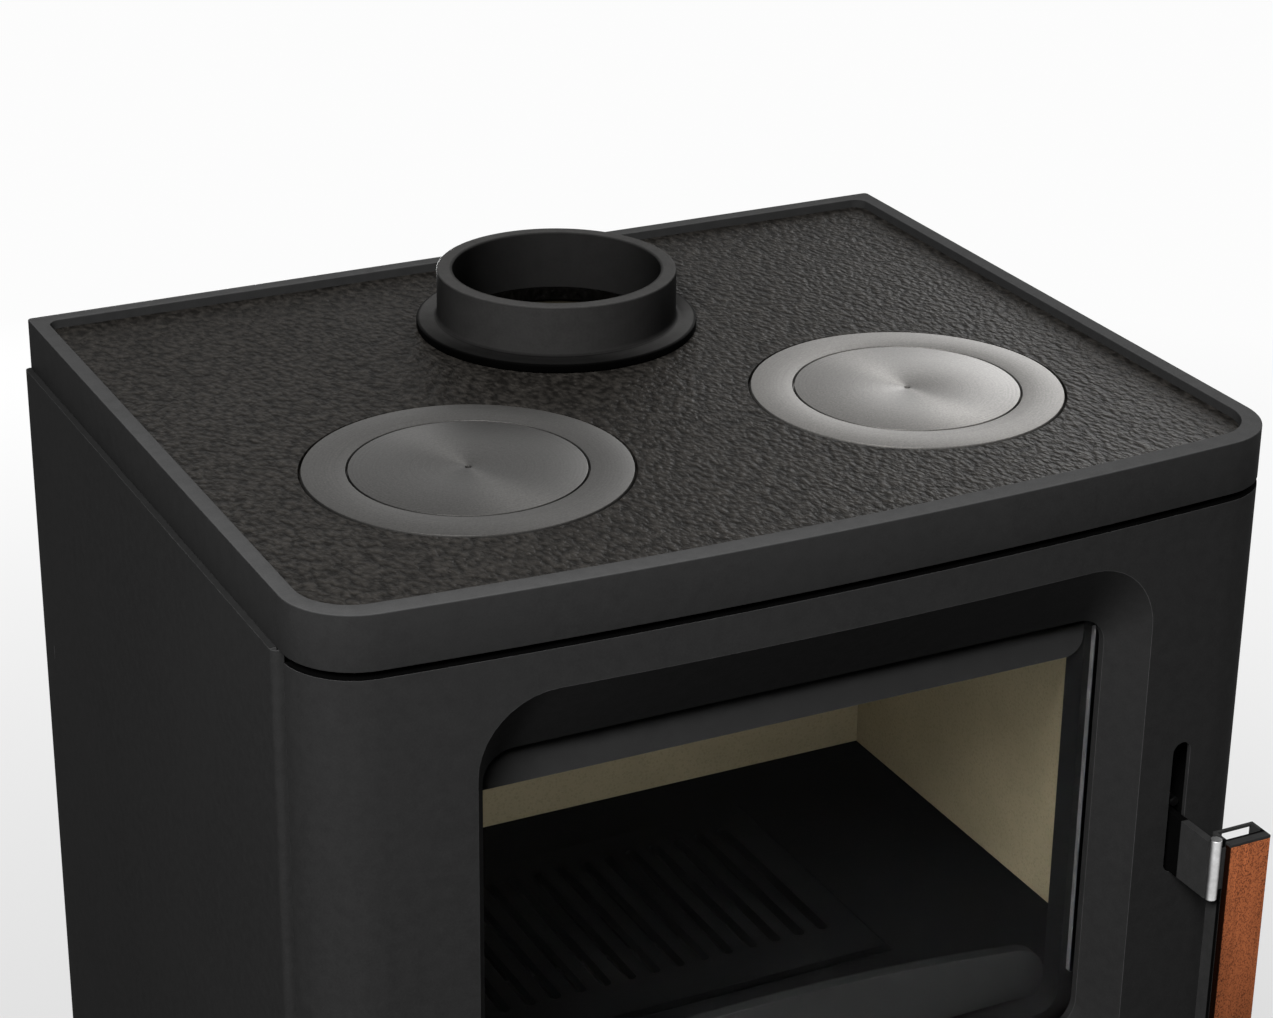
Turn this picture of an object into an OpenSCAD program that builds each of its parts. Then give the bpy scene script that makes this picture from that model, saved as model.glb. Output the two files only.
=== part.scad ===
// Bow-fronted cooking stove: a steel carcass with a glazed fire door, a cast hob with two
// hotplates, an ash drawer and a log drawer. Millimetres, +Z up, the front faces -Y.
// The origin is the middle of the plinth's underside.

/* [Body] */
// Width across the hob frame
body_w = 605; // [585:1:625]
// Depth of the hob frame at the middle of the bow
body_d = 496; // [480:1:512]
// Height from the floor to the top of the hob rim
body_h = 850; // [840:1:870]
// Radius of the bowed front
front_radius = 3194; // [2600:10:4200]
// Radius of the upright front corners
corner_radius = 42; // [36:1:48]
// How far the side panels stand out past the hob frame
side_proud = 3.5; // [2.5:0.5:6]
// Thickness of the side and rear panel sheet
panel_sheet = 1.5; // [1:0.1:2]
// Thickness of the carcass plates
plate = 3; // [2.5:0.1:3.5]
// Height of the plinth
plinth_h = 60; // [50:1:70]
// Plinth setback from the sides and the back
plinth_setback = 25; // [20:1:35]
// Upright gap between one front and the next
front_gap = 4.3; // [3:0.1:5]
// Radius of the side panels' rolled front edges
roll_r = 4.6; // [4:0.1:5]
// Lip beyond the roll
roll_lip = 2; // [1:0.1:2.2]
// Width of the side panels' rear flanges
panel_flange = 16; // [12:0.5:20]
// Top of the tab slot in a side panel below the hob rim
tab_drop = 226; // [200:1:250]
// Distance of the tab slot from the back
tab_back = 23; // [20:0.5:30]
// Width of the tab slot
tab_w = 1.2; // [1:0.1:2]
// Length of the tab slot
tab_len = 9; // [6:0.5:15]
// Number of cooling slots in a row of the rear panel
vent_count = 11; // [5:1:13]
// Distance between the cooling slots
vent_pitch = 36; // [34:1:38]
// Length of a cooling slot between its end centres
vent_len = 60; // [40:1:80]
// Radius of a cooling slot's ends
vent_r = 3; // [2:0.5:4]
// Cooling slots' middles to the rear panel's ends
vent_inset = 70; // [60:1:90]
// Stays' and spacers' middles to the rear panel's ends
stay_inset = 160; // [140:1:200]
// Height of a stay or spacer
stay_h = 24; // [20:1:30]
// Half the length of a rear stay
stay_half = 120; // [100:1:160]

/* [Hob] */
// Width of the rim at the sides and the back
rim_w = 10; // [8:0.5:12]
// Width of the rim at the front
rim_front_w = 13.5; // [11:0.5:16]
// Height of the hob frame's skirt
skirt_h = 32.4; // [28:0.2:36]
// Wall thickness of the skirt
skirt_wall = 3.5; // [3:0.1:4.5]
// How far the casting lies below the rim
hob_recess = 5.5; // [4:0.1:7]
// Thickness of the hob casting
hob_t = 8; // [7:0.5:10]
// Thickness of the ledge that the casting rests on
ledge_t = 3; // [2:0.1:4]
// Width of that ledge
ledge_w = 6; // [5:0.5:7]
// Hotplate centre to the middle of the stove
plate_x = 143.4; // [138:0.2:148]
// Hotplate centre in front of the middle of the stove
plate_y = 72.7; // [68:0.1:78]
// Radius of a hotplate ring
ring_r = 95; // [92:0.5:98]
// Radius of a hotplate disc
disc_r = 67.5; // [62:0.5:70]
// Thickness of the hotplate ring's rim and of the disc's rim
plate_lip = 4.5; // [4:0.1:5]
// How far a hotplate stands above the casting
plate_proud = 0.5; // [0.3:0.1:1]
// Width of the seat under a ring or a disc
seat_w = 6; // [5:0.5:7]
// Radius of the lifting hole in a disc
lifter_r = 2; // [1.5:0.5:3]

/* [Flue collar] */
// Outer radius of the collar
collar_r = 75; // [73:0.5:77]
// Wall thickness of the collar
collar_wall = 10; // [8:0.5:11]
// Height of the collar above the rim
collar_h = 32; // [28:1:40]
// Radius of the collar's flange
collar_flange_r = 88; // [85:0.5:90]
// Distance of the collar's axis from the back of the stove
collar_back = 132.2; // [128:0.2:136]
// Radius of the cove at the collar's foot
cove_r = 4; // [3:0.1:5]
// Radius of the collar bolts and the door frame bolts
bolt_r = 3; // [2.5:0.1:3.2]
// Depth of the bolts in what they hold
bolt_len = 12; // [10:0.5:14]

/* [Firebox] */
// Half the inner width of the firebox
fire_half = 266; // [260:1:270]
// Thickness of the lining boards
board_t = 22; // [20:0.5:24]
// Distance of the lining's back face from the back of the stove
fire_back = 79; // [76:1:84]
// Depth of the firebox floor below the hob rim
floor_drop = 389; // [386:0.5:393]
// Thickness of the floor casting
floor_t = 12; // [10:0.5:14]
// Half the width of the grate tile
grate_half = 143; // [138:1:146]
// Depth of the grate tile, front to back
grate_d = 206; // [200:1:210]
// Distance of the grate's middle behind the middle of the stove
grate_y = 15; // [12:1:18]
// Number of slots in the grate
grate_slots = 14; // [10:1:14]
// Distance between the slots
grate_pitch = 17.4; // [16.5:0.1:18]
// Width of a slot
slot_w = 7.5; // [6.5:0.1:8.5]
// Length of a slot
slot_len = 145; // [135:1:150]
// Middle of the slots behind the middle of the grate
slot_back = 4.5; // [0:0.5:6]
// Depth of the grate's seat in the floor casting
grate_seat = 4; // [3:0.1:5]
// Opening under the grate in from the grate's edge
throat_in = 14; // [12:0.5:16]
// How far the grate tile stands above the floor casting
grate_raise = 4; // [3:0.1:5]
// Half the width of the log guard
guard_half = 203; // [195:1:205]
// Height of the log guard at its middle
guard_h = 54; // [48:1:60]
// Thickness of the log guard
guard_t = 8; // [6:0.5:10]
// Radius of the arched top of the log guard
guard_arch_r = 1278; // [1000:10:1600]
// Radius of the log guard's shoulders
guard_r = 25; // [20:0.5:28]
// Front of the log guard behind the front frame
guard_back = 4; // [3:0.5:6]
// Underside of the baffle below the hob rim
baffle_drop = 105; // [100:1:112]
// Front of the baffle in front of the middle of the stove
baffle_front = 40; // [20:1:60]

/* [Fire door] */
// Height of the fire door
door_h = 419.3; // [415:0.1:423]
// Wall thickness of the door casting and the drawer fronts
skin = 3; // [2.5:0.1:3.5]
// Depth of the sloped window surround behind the middle of the bow
bevel_depth = 33.8; // [32:0.1:36]
// Half the width of the window surround's outer edge
bevel_half = 212.6; // [211:0.2:214]
// Top of that outer edge below the hob rim
bevel_top = 60; // [59:0.1:61]
// Bottom of that outer edge below the hob rim
bevel_bottom = 432; // [431:0.1:433]
// Corner radius of that outer edge
bevel_r = 46; // [42:1:50]
// Half the width of the window opening
window_half = 198.5; // [197:0.5:200]
// Top of the window opening below the hob rim
window_top = 106.4; // [105:0.1:108]
// Bottom of the window opening below the hob rim
window_bottom = 387; // [385:0.5:388]
// Corner radius of the window opening
window_r = 18; // [15:0.5:20]
// Thickness of the flange round the window opening
flange_t = 5; // [4:0.1:6]
// Thickness of the window glass
glass_t = 4; // [3.5:0.1:5]
// Thickness of the glass gasket
gasket_t = 1; // [0.8:0.1:1.5]
// Thickness of the glass bars
bar_t = 4; // [3.5:0.1:5]
// Lower edge of the top glass bar below the hob rim
top_bar_drop = 134; // [130:0.5:138]
// Depth of the door frame from front to back
frame_d = 17; // [15.5:0.5:17]
// Gap between the door frame and the front frame
seal_gap = 4; // [3.5:0.1:4.5]
// How far the glass bars show inside the window opening
bar_show = 4; // [3:0.1:5]
// Top of the side glass bars below the hob rim
side_bar_top = 119; // [117:1:125]
// Bottom of the side glass bars below the hob rim
side_bar_bottom = 355; // [340:1:360]
// Corner radius of the top glass bar
top_bar_r = 13; // [10:0.5:15]
// Width of the flange round the window opening
flange_w = 18; // [16:0.5:19]
// How far the glass reaches past the opening
glass_over = 8; // [6:0.5:9]
// Rope seal outboard of the door frame's opening
rope_in = 22; // [21:0.1:23]
// Fire mouth outboard of the door frame's opening
mouth_in = 13; // [11:0.5:14]
// Radius of the rope seal
rope_r = 4.4; // [4.2:0.1:4.5]
// Distance of the side panels' front edges behind the middle of the bow
panel_front = 55.3; // [54:0.1:57]
// Gap between a side panel and the door's wrapped edge
wrap_gap = 6; // [5.5:0.1:6.5]
// Hinge axis inboard of the hob frame's side
hinge_in = 9; // [8.8:0.1:9.2]
// Hinge axis behind the door's wrapped edge
hinge_back = 13; // [12.9:0.1:13.2]
// Radius of the hinge knuckles
knuckle_r = 5.5; // [5:0.1:5.6]
// Radius of the hinge pins
hinge_pin_r = 3.5; // [3:0.1:3.7]

// Height of a hinge knuckle
knuckle_h = 22; // [18:0.5:26]
// Hinge levels in from the door's ends
hinge_inset = 60; // [50:1:80]
// Door frame bolts to the middle of the stove
post_x = 262; // [261.5:0.5:264]
// Door frame bolts in from the door's ends
post_inset = 24; // [20:1:30]
// Radius of the bolt posts in the door casting
post_r = 6; // [5:0.1:6.5]
// Steps in each quarter of the window surround's corners
loop_steps = 8; // [6:1:12]

/* [Door lever] */
// Lever plate's middle to the middle of the stove
lever_x = 243.5; // [242:0.5:244]
// Height of the lever's pivot below the hob rim
lever_drop = 256; // [254:0.5:258]
// Lever pivot behind the middle of the bow
lever_back = 43; // [42.8:0.1:43.2]
// Thickness of the lever plate
lever_t = 5; // [4:0.1:5.5]
// Height of the lever plate outside the door
lever_h = 38.4; // [36:0.2:39]
// Half the size of the lever's hub and of its bracket's ears
ear_half = 14; // [13:0.5:14.5]
// Length of the latch arm behind the pivot
arm_len = 47; // [44:0.5:48]
// Height of the latch arm
arm_h = 11; // [9:0.5:12]
// Top of the latch arm below the pivot
arm_down = 6; // [5.5:0.1:6.5]
// Radius of the keeper roller
roller_r = 4.5; // [4:0.1:5]
// Keeper roller behind the front frame
roller_back = 6.7; // [6:0.1:8]
// Radius of the keeper roller's pin
keeper_pin_r = 2.5; // [2:0.1:2.7]
// Depth of the latch keeper
keeper_d = 24.2; // [24:0.2:30]
// Half the width of the latch slot
latch_half = 8.5; // [8:0.1:9]
// Latch slot below the pivot
latch_down = 47; // [46.5:0.5:50]
// Latch slot above the pivot
latch_up = 11; // [10.5:0.1:12]
// Radius of the lever's pivot pin
pivot_r = 4; // [3.5:0.1:4.2]
// Width of the upright slot in the door
lever_slot_w = 13; // [12:0.5:14]
// Top of that slot above the pivot
slot_up = 67.4; // [62:0.2:72]
// Bottom of that slot below the pivot
slot_down = 20.2; // [20:0.1:21.5]
// Chrome barrel in front of the middle of the bow
barrel_out = 27.3; // [26.5:0.1:28]
// Radius of the chrome barrel
barrel_r = 3.7; // [3.5:0.1:4]
// Length of the chrome barrel
barrel_len = 40.4; // [39.5:0.1:42]
// Gap between the barrel and the handle
barrel_gap = 2.7; // [2:0.1:3.5]
// Front of the handle in front of the barrel's axis
handle_out = 6.1; // [5.5:0.1:7]
// Top of the handle above the pivot
handle_up = 17.6; // [15.5:0.1:18.5]
// Thickness of the lug between the barrel and the handle
lug_t = 4; // [3:0.1:5]
// Length of the handle
handle_len = 185; // [160:1:200]
// Width of the handle
handle_w = 29; // [26:0.5:30]
// Depth of the handle's steel channel
channel_d = 13.2; // [12.5:0.1:14]
// Thickness of the wood inlay
inlay_t = 5; // [4.5:0.1:6]
// Wall thickness of the handle channel
channel_wall = 2; // [1.6:0.1:2.4]

/* [Drawers] */
// Gap between a drawer's closing plate and the front frame
liner_gap = 1; // [0.7:0.1:1.5]
// Play round a drawer in its mouth
mouth_play = 9; // [8:0.5:10]
// Webs of the drawer fronts to the middle of the stove
web_x = 268; // [266:0.5:274]
// Overlap of the ash drawer's closing plate on the front frame
liner_over = 14; // [10:0.5:18]
// Height of the ash tray's sides
tray_lip = 12; // [9:0.5:15]
// Height of the ash drawer's front
ash_front_h = 95.7; // [92:0.1:97]
// Half the inner width of the ash chamber
ash_half = 152; // [148:1:153]
// Height of the ash pan
pan_h = 66; // [55:1:70]
// Sheet thickness of the trays and the log drawer
tray_sheet = 2; // [1.5:0.1:2.2]
// Half the width of the log drawer's box
log_half = 236; // [225:1:237]
// Height of the log drawer's box
log_box_h = 176; // [150:1:185]
// Half the width of a finger notch in a drawer front
notch_half = 60; // [45:1:75]
// Depth of a finger notch
notch_h = 14; // [12:0.5:17]
// Number of air slots in the shutter
air_slots = 5; // [3:1:6]
// Distance between the air slots
air_pitch = 24; // [23.5:0.1:25]
// Width of an air slot
air_slot_w = 11; // [9:0.5:11.5]
// Height of an air slot
air_slot_h = 24; // [20:0.5:28]
// Half the height of the air shutter
air_half = 18; // [16:0.5:20]
// Radius of the air knob
knob_r = 9; // [7:0.5:11]
// Thickness of the air knob
knob_t = 10; // [8:0.5:12]
// Gap between the air knob and the front
knob_gap = 6; // [4:0.5:8]
// Radius of the air knob's stem
knob_stem_r = 3; // [2.5:0.1:3.5]
// Width of a log drawer rail
rail_w = 13; // [11:0.5:14]
// Height of a log drawer rail
rail_h = 24; // [20:0.5:28]

/* [Clearances] */
// A loose fit, as of a casting or a bolt in its hole
fit = 0.4; // [0.3:0.1:0.6]
// A running fit, on the radius
run = 0.05; // [0.03:0.01:0.08]
// Pieces that pass each other
pass = 0.3; // [0.3:0.05:0.4]

/* [Hidden] */

// Circle resolutions and the overrun of cuts
round_fn = 64;
bow_fn = 720;
cut = 1;
// How far the surround's cut runs past the bow, as a share of its depth
past_share = 0.3;

half_w = body_w/2;
y_front = -body_d/2;
y_back = body_d/2;
bow_cy = y_front + front_radius;

// Levels, from the top down
skirt_z = body_h - skirt_h;
hob_z1 = body_h - hob_recess;
hob_z0 = hob_z1 - hob_t;
ledge_z = hob_z0 - ledge_t;
hotplate_z = hob_z1 + plate_proud;
door_z1 = skirt_z - front_gap;
door_z0 = door_z1 - door_h;
ash_z1 = door_z0 - front_gap;
ash_z0 = ash_z1 - ash_front_h;
log_z1 = ash_z0 - front_gap;
log_z0 = plinth_h + front_gap;
floor_z = body_h - floor_drop;
base_z1 = floor_z - floor_t;
base_z0 = base_z1 - plate;
shelf_z1 = ash_z0 + 2*plate;
shelf_z0 = shelf_z1 - plate;
bottom_z1 = plinth_h + plate;
panel_z1 = skirt_z - pass;

// Depths, from the front back
flange_y = y_front + bevel_depth;
gasket_y = flange_y + flange_t;
glass_y = gasket_y + gasket_t;
bar_y = glass_y + glass_t;
frame_y = bar_y + bar_t;
frame_back = frame_y + frame_d;
front_y0 = frame_back + seal_gap;
front_y1 = front_y0 + plate;
liner_y1 = front_y0 - liner_gap;
liner_y0 = liner_y1 - plate;
panel_y = y_front + panel_front;
wrap_y = panel_y - wrap_gap;
fire_y1 = y_back - fire_back;
back_y0 = fire_y1 + board_t;
back_y1 = back_y0 + plate;
collar_y = y_back - collar_back;
rear_y0 = y_back - 2*panel_sheet;
rear_y1 = y_back - panel_sheet;

guard_y = front_y1 + guard_back;
baffle_y = -baffle_front;
baffle_z = body_h - baffle_drop;

// Widths, from the middle out
wall_x0 = fire_half + board_t;
wall_x1 = wall_x0 + plate;
panel_x1 = half_w + side_proud;
panel_x0 = panel_x1 - panel_sheet;
frame_half = window_half - bar_show;
frame_top = body_h - window_top - bar_show;
frame_bottom = body_h - window_bottom + bar_show;
rope_half = frame_half + rope_in;

// Hinge, lever and handle
hinge_x = -(half_w - hinge_in);
hinge_y = wrap_y + hinge_back;
hinge_levels = [door_z0 + hinge_inset, door_z1 - hinge_inset];
lever_y = y_front + lever_back;
lever_z = body_h - lever_drop;
barrel_x = lever_x + lever_t/2;
barrel_y = y_front - barrel_out;
handle_x0 = barrel_x + barrel_r + barrel_gap;
handle_y0 = barrel_y - handle_out;
channel_y0 = handle_y0 + inlay_t;
channel_y1 = channel_y0 + channel_d;
handle_z1 = lever_z + handle_up;
handle_z0 = handle_z1 - handle_len;
roller_y = front_y1 + roller_back;
arm_z1 = lever_z - arm_down;
roller_z = arm_z1 + pass + roller_r;

// Ash drawer
pan_z0 = shelf_z1 + 2*pass + tray_sheet;
pan_y1 = grate_y + grate_d/2 - pass;
air_z = (ash_z0 + ash_z1)/2;
air_shut = air_pitch/2;

function bow_y(x) = bow_cy - sqrt(front_radius*front_radius - x*x);

// A box between two corners
module block(lo, hi) {
    translate(lo) cube(hi - lo);
}

// A plane shape raised from z0 to z1
module rise(z0, z1) {
    translate([0, 0, z0]) linear_extrude(z1 - z0) children();
}

// A shape in the X-Z plane run from y0 back to y1
module across(y0, y1) {
    translate([0, y1, 0]) rotate([90, 0, 0]) linear_extrude(y1 - y0) children();
}

// An upright cylinder, one along X and one along Y
module upright(r, z0, z1) {
    translate([0, 0, z0]) cylinder(r = r, h = z1 - z0, $fn = round_fn);
}

module along_x(r, x0, x1) {
    translate([x0, 0, 0]) rotate([0, 90, 0]) cylinder(r = r, h = x1 - x0, $fn = round_fn);
}

module along_y(r, y0, y1) {
    translate([0, y0, 0]) rotate([-90, 0, 0]) cylinder(r = r, h = y1 - y0, $fn = round_fn);
}

// The stove in plan, drawn in from the sides, the bowed front and the back
module plan(side, front, back) {
    half = half_w - side;
    r = corner_radius - side;
    big = front_radius - front;
    cx = half - r;
    cy = bow_cy - sqrt((big - r)*(big - r) - cx*cx);
    touch = cx + r*cx/(big - r);
    rear = y_back - back;
    intersection() {
        translate([0, bow_cy]) circle(big, $fn = bow_fn);
        translate([-touch, y_front - cut]) square([2*touch, rear - y_front + cut]);
    }
    translate([-half, cy]) square([2*half, rear - cy]);
    for (x = [-cx, cx]) translate([x, cy]) circle(r, $fn = round_fn);
}

// A rounded rectangle in the X-Z plane
module rounded(half, z0, z1, r) {
    translate([-half, z0 + r]) square([2*half, z1 - z0 - 2*r]);
    translate([r - half, z0]) square([2*(half - r), z1 - z0]);
    for (x = [r - half, half - r], z = [z0 + r, z1 - r])
        translate([x, z]) circle(r, $fn = round_fn);
}

// A slot with round ends in the X-Z plane, its ends at two centres
module slot_shape(p, q, r) {
    for (c = [p, q]) translate(c) circle(r, $fn = round_fn);
    translate([min(p.x, q.x) - (p.x == q.x ? r : 0), min(p.y, q.y) - (p.y == q.y ? r : 0)])
        square([abs(p.x - q.x) + (p.x == q.x ? 2*r : 0), abs(p.y - q.y) + (p.y == q.y ? 2*r : 0)]);
}

module mirrored(side) {
    if (side < 0) mirror([1, 0, 0]) children();
    else children();
}

module plinth() {
    color("#1f1f1f") difference() {
        block([plinth_setback - half_w, front_y0, 0],
              [half_w - plinth_setback, y_back - plinth_setback, plinth_h]);
        block([plinth_setback - half_w + plate, front_y0 + plate, tray_sheet],
              [half_w - plinth_setback - plate, y_back - plinth_setback - plate, plinth_h + cut]);
    }
}

module carcass_wall() {
    block([wall_x0, front_y1, bottom_z1], [wall_x1, back_y0, ledge_z]);
}

module carcass_left() {
    color("#262626") mirrored(-1) carcass_wall();
}

module carcass_right() {
    color("#262626") carcass_wall();
}

module carcass_back() {
    color("#262626") block([-wall_x1, back_y0, bottom_z1], [wall_x1, back_y1, ledge_z]);
}

module carcass_bottom() {
    color("#262626") block([-wall_x1, front_y1, plinth_h], [wall_x1, back_y1, bottom_z1]);
}

// Front frame: one plate with the fire, ash and log mouths and the latch slot
module front_frame() {
    color("#2a2a2a") difference() {
        block([-wall_x1, front_y0, plinth_h], [wall_x1, front_y1, ledge_z]);
        across(front_y0 - cut, front_y1 + cut) {
            rounded(frame_half + mouth_in, floor_z, frame_top + mouth_in, window_r);
            translate([-ash_half, shelf_z1])
                square([2*ash_half, pan_z0 + pan_h + mouth_play - shelf_z1]);
            rounded(log_half + rail_w + mouth_play/2, bottom_z1 + mouth_play,
                    shelf_z0 - 2*mouth_play, mouth_play/2);
            translate([lever_x - latch_half, lever_z - latch_down])
                square([2*latch_half, latch_down + latch_up]);
        }
    }
}

module middle_shelf() {
    color("#262626") block([-wall_x0, front_y1, shelf_z0], [wall_x0, back_y0, shelf_z1]);
}

module ash_chamber() {
    back = pan_y1 + mouth_play;
    color("#262626") difference() {
        block([-ash_half - plate, front_y1, shelf_z1], [ash_half + plate, back + plate, base_z0]);
        block([-ash_half, front_y1 - cut, shelf_z1 - cut], [ash_half, back, base_z0 + cut]);
    }
}

// The opening under the grate, cut in the base plate and the floor casting
module throat(z0, z1) {
    block([throat_in - grate_half, grate_y - grate_d/2 + throat_in, z0],
          [grate_half - throat_in, grate_y + grate_d/2 - throat_in, z1]);
}

module firebox_base() {
    color("#262626") difference() {
        block([-wall_x0, front_y1, base_z0], [wall_x0, back_y0, base_z1]);
        throat(base_z0 - cut, base_z1 + cut);
    }
}

// Side panel: a flat sheet with a rolled front edge and a rear flange
module side_panel() {
    roll_y = panel_y + roll_r;
    difference() {
        union() {
            block([panel_x0, roll_y, log_z0], [panel_x1, y_back, panel_z1]);
            block([panel_x0 - panel_flange, rear_y1, log_z0], [panel_x1, y_back, panel_z1]);
            rise(log_z0, panel_z1) translate([panel_x1 - roll_r, roll_y]) intersection() {
                difference() {
                    circle(roll_r, $fn = round_fn);
                    circle(roll_r - panel_sheet, $fn = round_fn);
                }
                translate([0, -roll_r]) square(roll_r);
            }
            block([panel_x1 - roll_r - roll_lip, panel_y, log_z0],
                  [panel_x1 - roll_r, panel_y + panel_sheet, panel_z1]);
        }
        block([panel_x0 - cut, y_back - tab_back, body_h - tab_drop],
              [panel_x1 + cut, y_back - tab_back + tab_w, body_h - tab_drop + tab_len]);
    }
}

module side_panel_left() {
    color("#2b2b2b") mirrored(-1) side_panel();
}

module side_panel_right() {
    color("#2b2b2b") side_panel();
}

// Rear panel with two rows of cooling slots
module rear_panel() {
    color("#222222") difference() {
        block([pass - panel_x0, rear_y0, log_z0], [panel_x0 - pass, rear_y1, panel_z1]);
        across(rear_y0 - cut, rear_y1 + cut)
            for (z = [log_z0 + vent_inset, panel_z1 - vent_inset], i = [0 : vent_count - 1]) {
                x = (i - (vent_count - 1)/2)*vent_pitch;
                slot_shape([x, z - vent_len/2], [x, z + vent_len/2], vent_r);
            }
    }
}

// Rear stays: two box sections that hold the rear panel off the carcass
module rear_stays() {
    color("#222222") for (z = [log_z0 + stay_inset, panel_z1 - stay_inset]) difference() {
        block([-stay_half, back_y1, z - stay_h/2], [stay_half, rear_y0, z + stay_h/2]);
        block([-stay_half - cut, back_y1 + tray_sheet, z - stay_h/2 + tray_sheet],
              [stay_half + cut, rear_y0 - tray_sheet, z + stay_h/2 - tray_sheet]);
    }
}

module side_spacers() {
    color("#222222") for (side = [-1, 1], z = [log_z0 + stay_inset, panel_z1 - stay_inset])
        mirrored(side) block([wall_x1, -stay_h/2, z - stay_h/2], [panel_x0, stay_h/2, z + stay_h/2]);
}

// Hob frame: rim, skirt and the ledge that carries the casting
module hob_frame() {
    color("#303030") difference() {
        rise(skirt_z, body_h) plan(0, 0, 0);
        rise(skirt_z - cut, ledge_z) plan(skirt_wall, skirt_wall, skirt_wall);
        rise(ledge_z - cut, hob_z0 + cut)
            plan(rim_w + ledge_w, rim_front_w + ledge_w, rim_w + ledge_w);
        rise(hob_z0, body_h + cut) plan(rim_w, rim_front_w, rim_w);
    }
}

module at_plate(side) {
    translate([side*plate_x, -plate_y, 0]) children();
}

module at_collar_bolts() {
    for (turn = [0 : 2]) translate([0, collar_y, 0]) rotate(120*turn - 90)
        translate([collar_r - collar_wall/2, 0, 0]) children();
}

module hob_casting() {
    color("#3b3835") difference() {
        rise(hob_z0, hob_z1) plan(rim_w + pass, rim_front_w + pass, rim_w + pass);
        for (side = [-1, 1]) at_plate(side) {
            upright(ring_r + fit, hob_z1 - plate_lip, hob_z1 + cut);
            upright(ring_r - seat_w, hob_z0 - cut, hob_z1);
        }
        translate([0, collar_y, 0]) upright(collar_r - collar_wall, hob_z0 - cut, hob_z1 + cut);
        at_collar_bolts() upright(bolt_r + fit, hob_z0 - cut, hob_z1 + cut);
    }
}

// Hotplate ring: a rim that sits in the casting, over a shallow spigot
module hotplate_ring(side) {
    color("#7a7874") at_plate(side) difference() {
        union() {
            upright(ring_r, hob_z1 - plate_lip, hotplate_z);
            upright(ring_r - seat_w - fit, hob_z0, hob_z1 - plate_lip + cut);
        }
        upright(disc_r + fit, hotplate_z - plate_lip, hotplate_z + cut);
        upright(disc_r - seat_w, hob_z0 - cut, hotplate_z);
    }
}

module ring_left() {
    hotplate_ring(-1);
}

module ring_right() {
    hotplate_ring(1);
}

// Hotplate disc with a blind lifting hole
module hotplate_disc(side) {
    color("#8a8884") at_plate(side) difference() {
        union() {
            upright(disc_r, hotplate_z - plate_lip, hotplate_z);
            upright(disc_r - seat_w - fit, hob_z0, hotplate_z - plate_lip + cut);
        }
        upright(lifter_r, hotplate_z - plate_lip, hotplate_z + cut);
    }
}

module disc_left() {
    hotplate_disc(-1);
}

module disc_right() {
    hotplate_disc(1);
}

// Flue collar: flange, tube and the cove at the tube's foot
module flue_collar() {
    color("#2d2b29") difference() {
        translate([0, collar_y, 0]) {
            upright(collar_flange_r, hob_z1, body_h);
            upright(collar_r, hob_z1, body_h + collar_h);
            translate([0, 0, body_h]) rotate_extrude($fn = round_fn) difference() {
                translate([collar_r - cove_r, 0]) square([2*cove_r, cove_r]);
                translate([collar_r + cove_r, cove_r]) circle(cove_r, $fn = round_fn);
            }
        }
        translate([0, collar_y, 0])
            upright(collar_r - collar_wall, hob_z1 - cut, body_h + collar_h + cut);
        at_collar_bolts() upright(bolt_r, hob_z1 - cut, hob_z1 + bolt_len + cut);
    }
}

module collar_bolts() {
    color("#55524e") at_collar_bolts() {
        upright(bolt_r - run, hob_z0 - cut, hob_z1 + bolt_len);
        translate([0, 0, hob_z0 - bolt_r]) cylinder(r = 2*bolt_r, h = bolt_r, $fn = 6);
    }
}

module floor_casting() {
    color("#2c2c2c") difference() {
        block([pass - wall_x0, front_y1, base_z1], [wall_x0 - pass, back_y0 - pass, floor_z]);
        throat(base_z1 - cut, floor_z + cut);
        block([-grate_half - fit, grate_y - grate_d/2 - fit, floor_z - grate_seat],
              [grate_half + fit, grate_y + grate_d/2 + fit, floor_z + cut]);
    }
}

// Grate tile: bevelled round its top, with round-ended slots that run front to back
module grate_tile() {
    color("#2c2c2c") difference() {
        hull() {
            block([-grate_half, grate_y - grate_d/2, floor_z - grate_seat],
                  [grate_half, grate_y + grate_d/2, floor_z + grate_raise/4]);
            block([grate_raise - grate_half, grate_y - grate_d/2 + grate_raise/2, floor_z],
                  [grate_half - grate_raise, grate_y + grate_d/2 - grate_raise, floor_z + grate_raise]);
        }
        rise(floor_z - grate_seat - cut, floor_z + grate_raise + cut)
            for (i = [0 : grate_slots - 1]) {
                x = (i - (grate_slots - 1)/2)*grate_pitch;
                reach = (slot_len - slot_w)/2;
                slot_shape([x, grate_y + slot_back - reach], [x, grate_y + slot_back + reach],
                           slot_w/2);
            }
    }
}

module lining_side() {
    block([fire_half, front_y1 + pass, floor_z], [wall_x0 - pass, fire_y1, ledge_z - pass]);
}

module lining_left() {
    color("#d8d0b4") mirrored(-1) lining_side();
}

module lining_right() {
    color("#d8d0b4") lining_side();
}

module lining_back() {
    color("#d8d0b4") block([pass - wall_x0, fire_y1, floor_z],
                           [wall_x0 - pass, back_y0 - pass, ledge_z - pass]);
}

module baffle_board() {
    color("#d8d0b4") block([pass - fire_half, baffle_y, baffle_z],
                           [fire_half - pass, fire_y1 - pass, baffle_z + board_t]);
}

module baffle_ledges() {
    color("#262626") for (side = [-1, 1]) mirrored(side)
        block([fire_half - throat_in, baffle_y, baffle_z - plate], [fire_half, fire_y1, baffle_z]);
}

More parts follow.
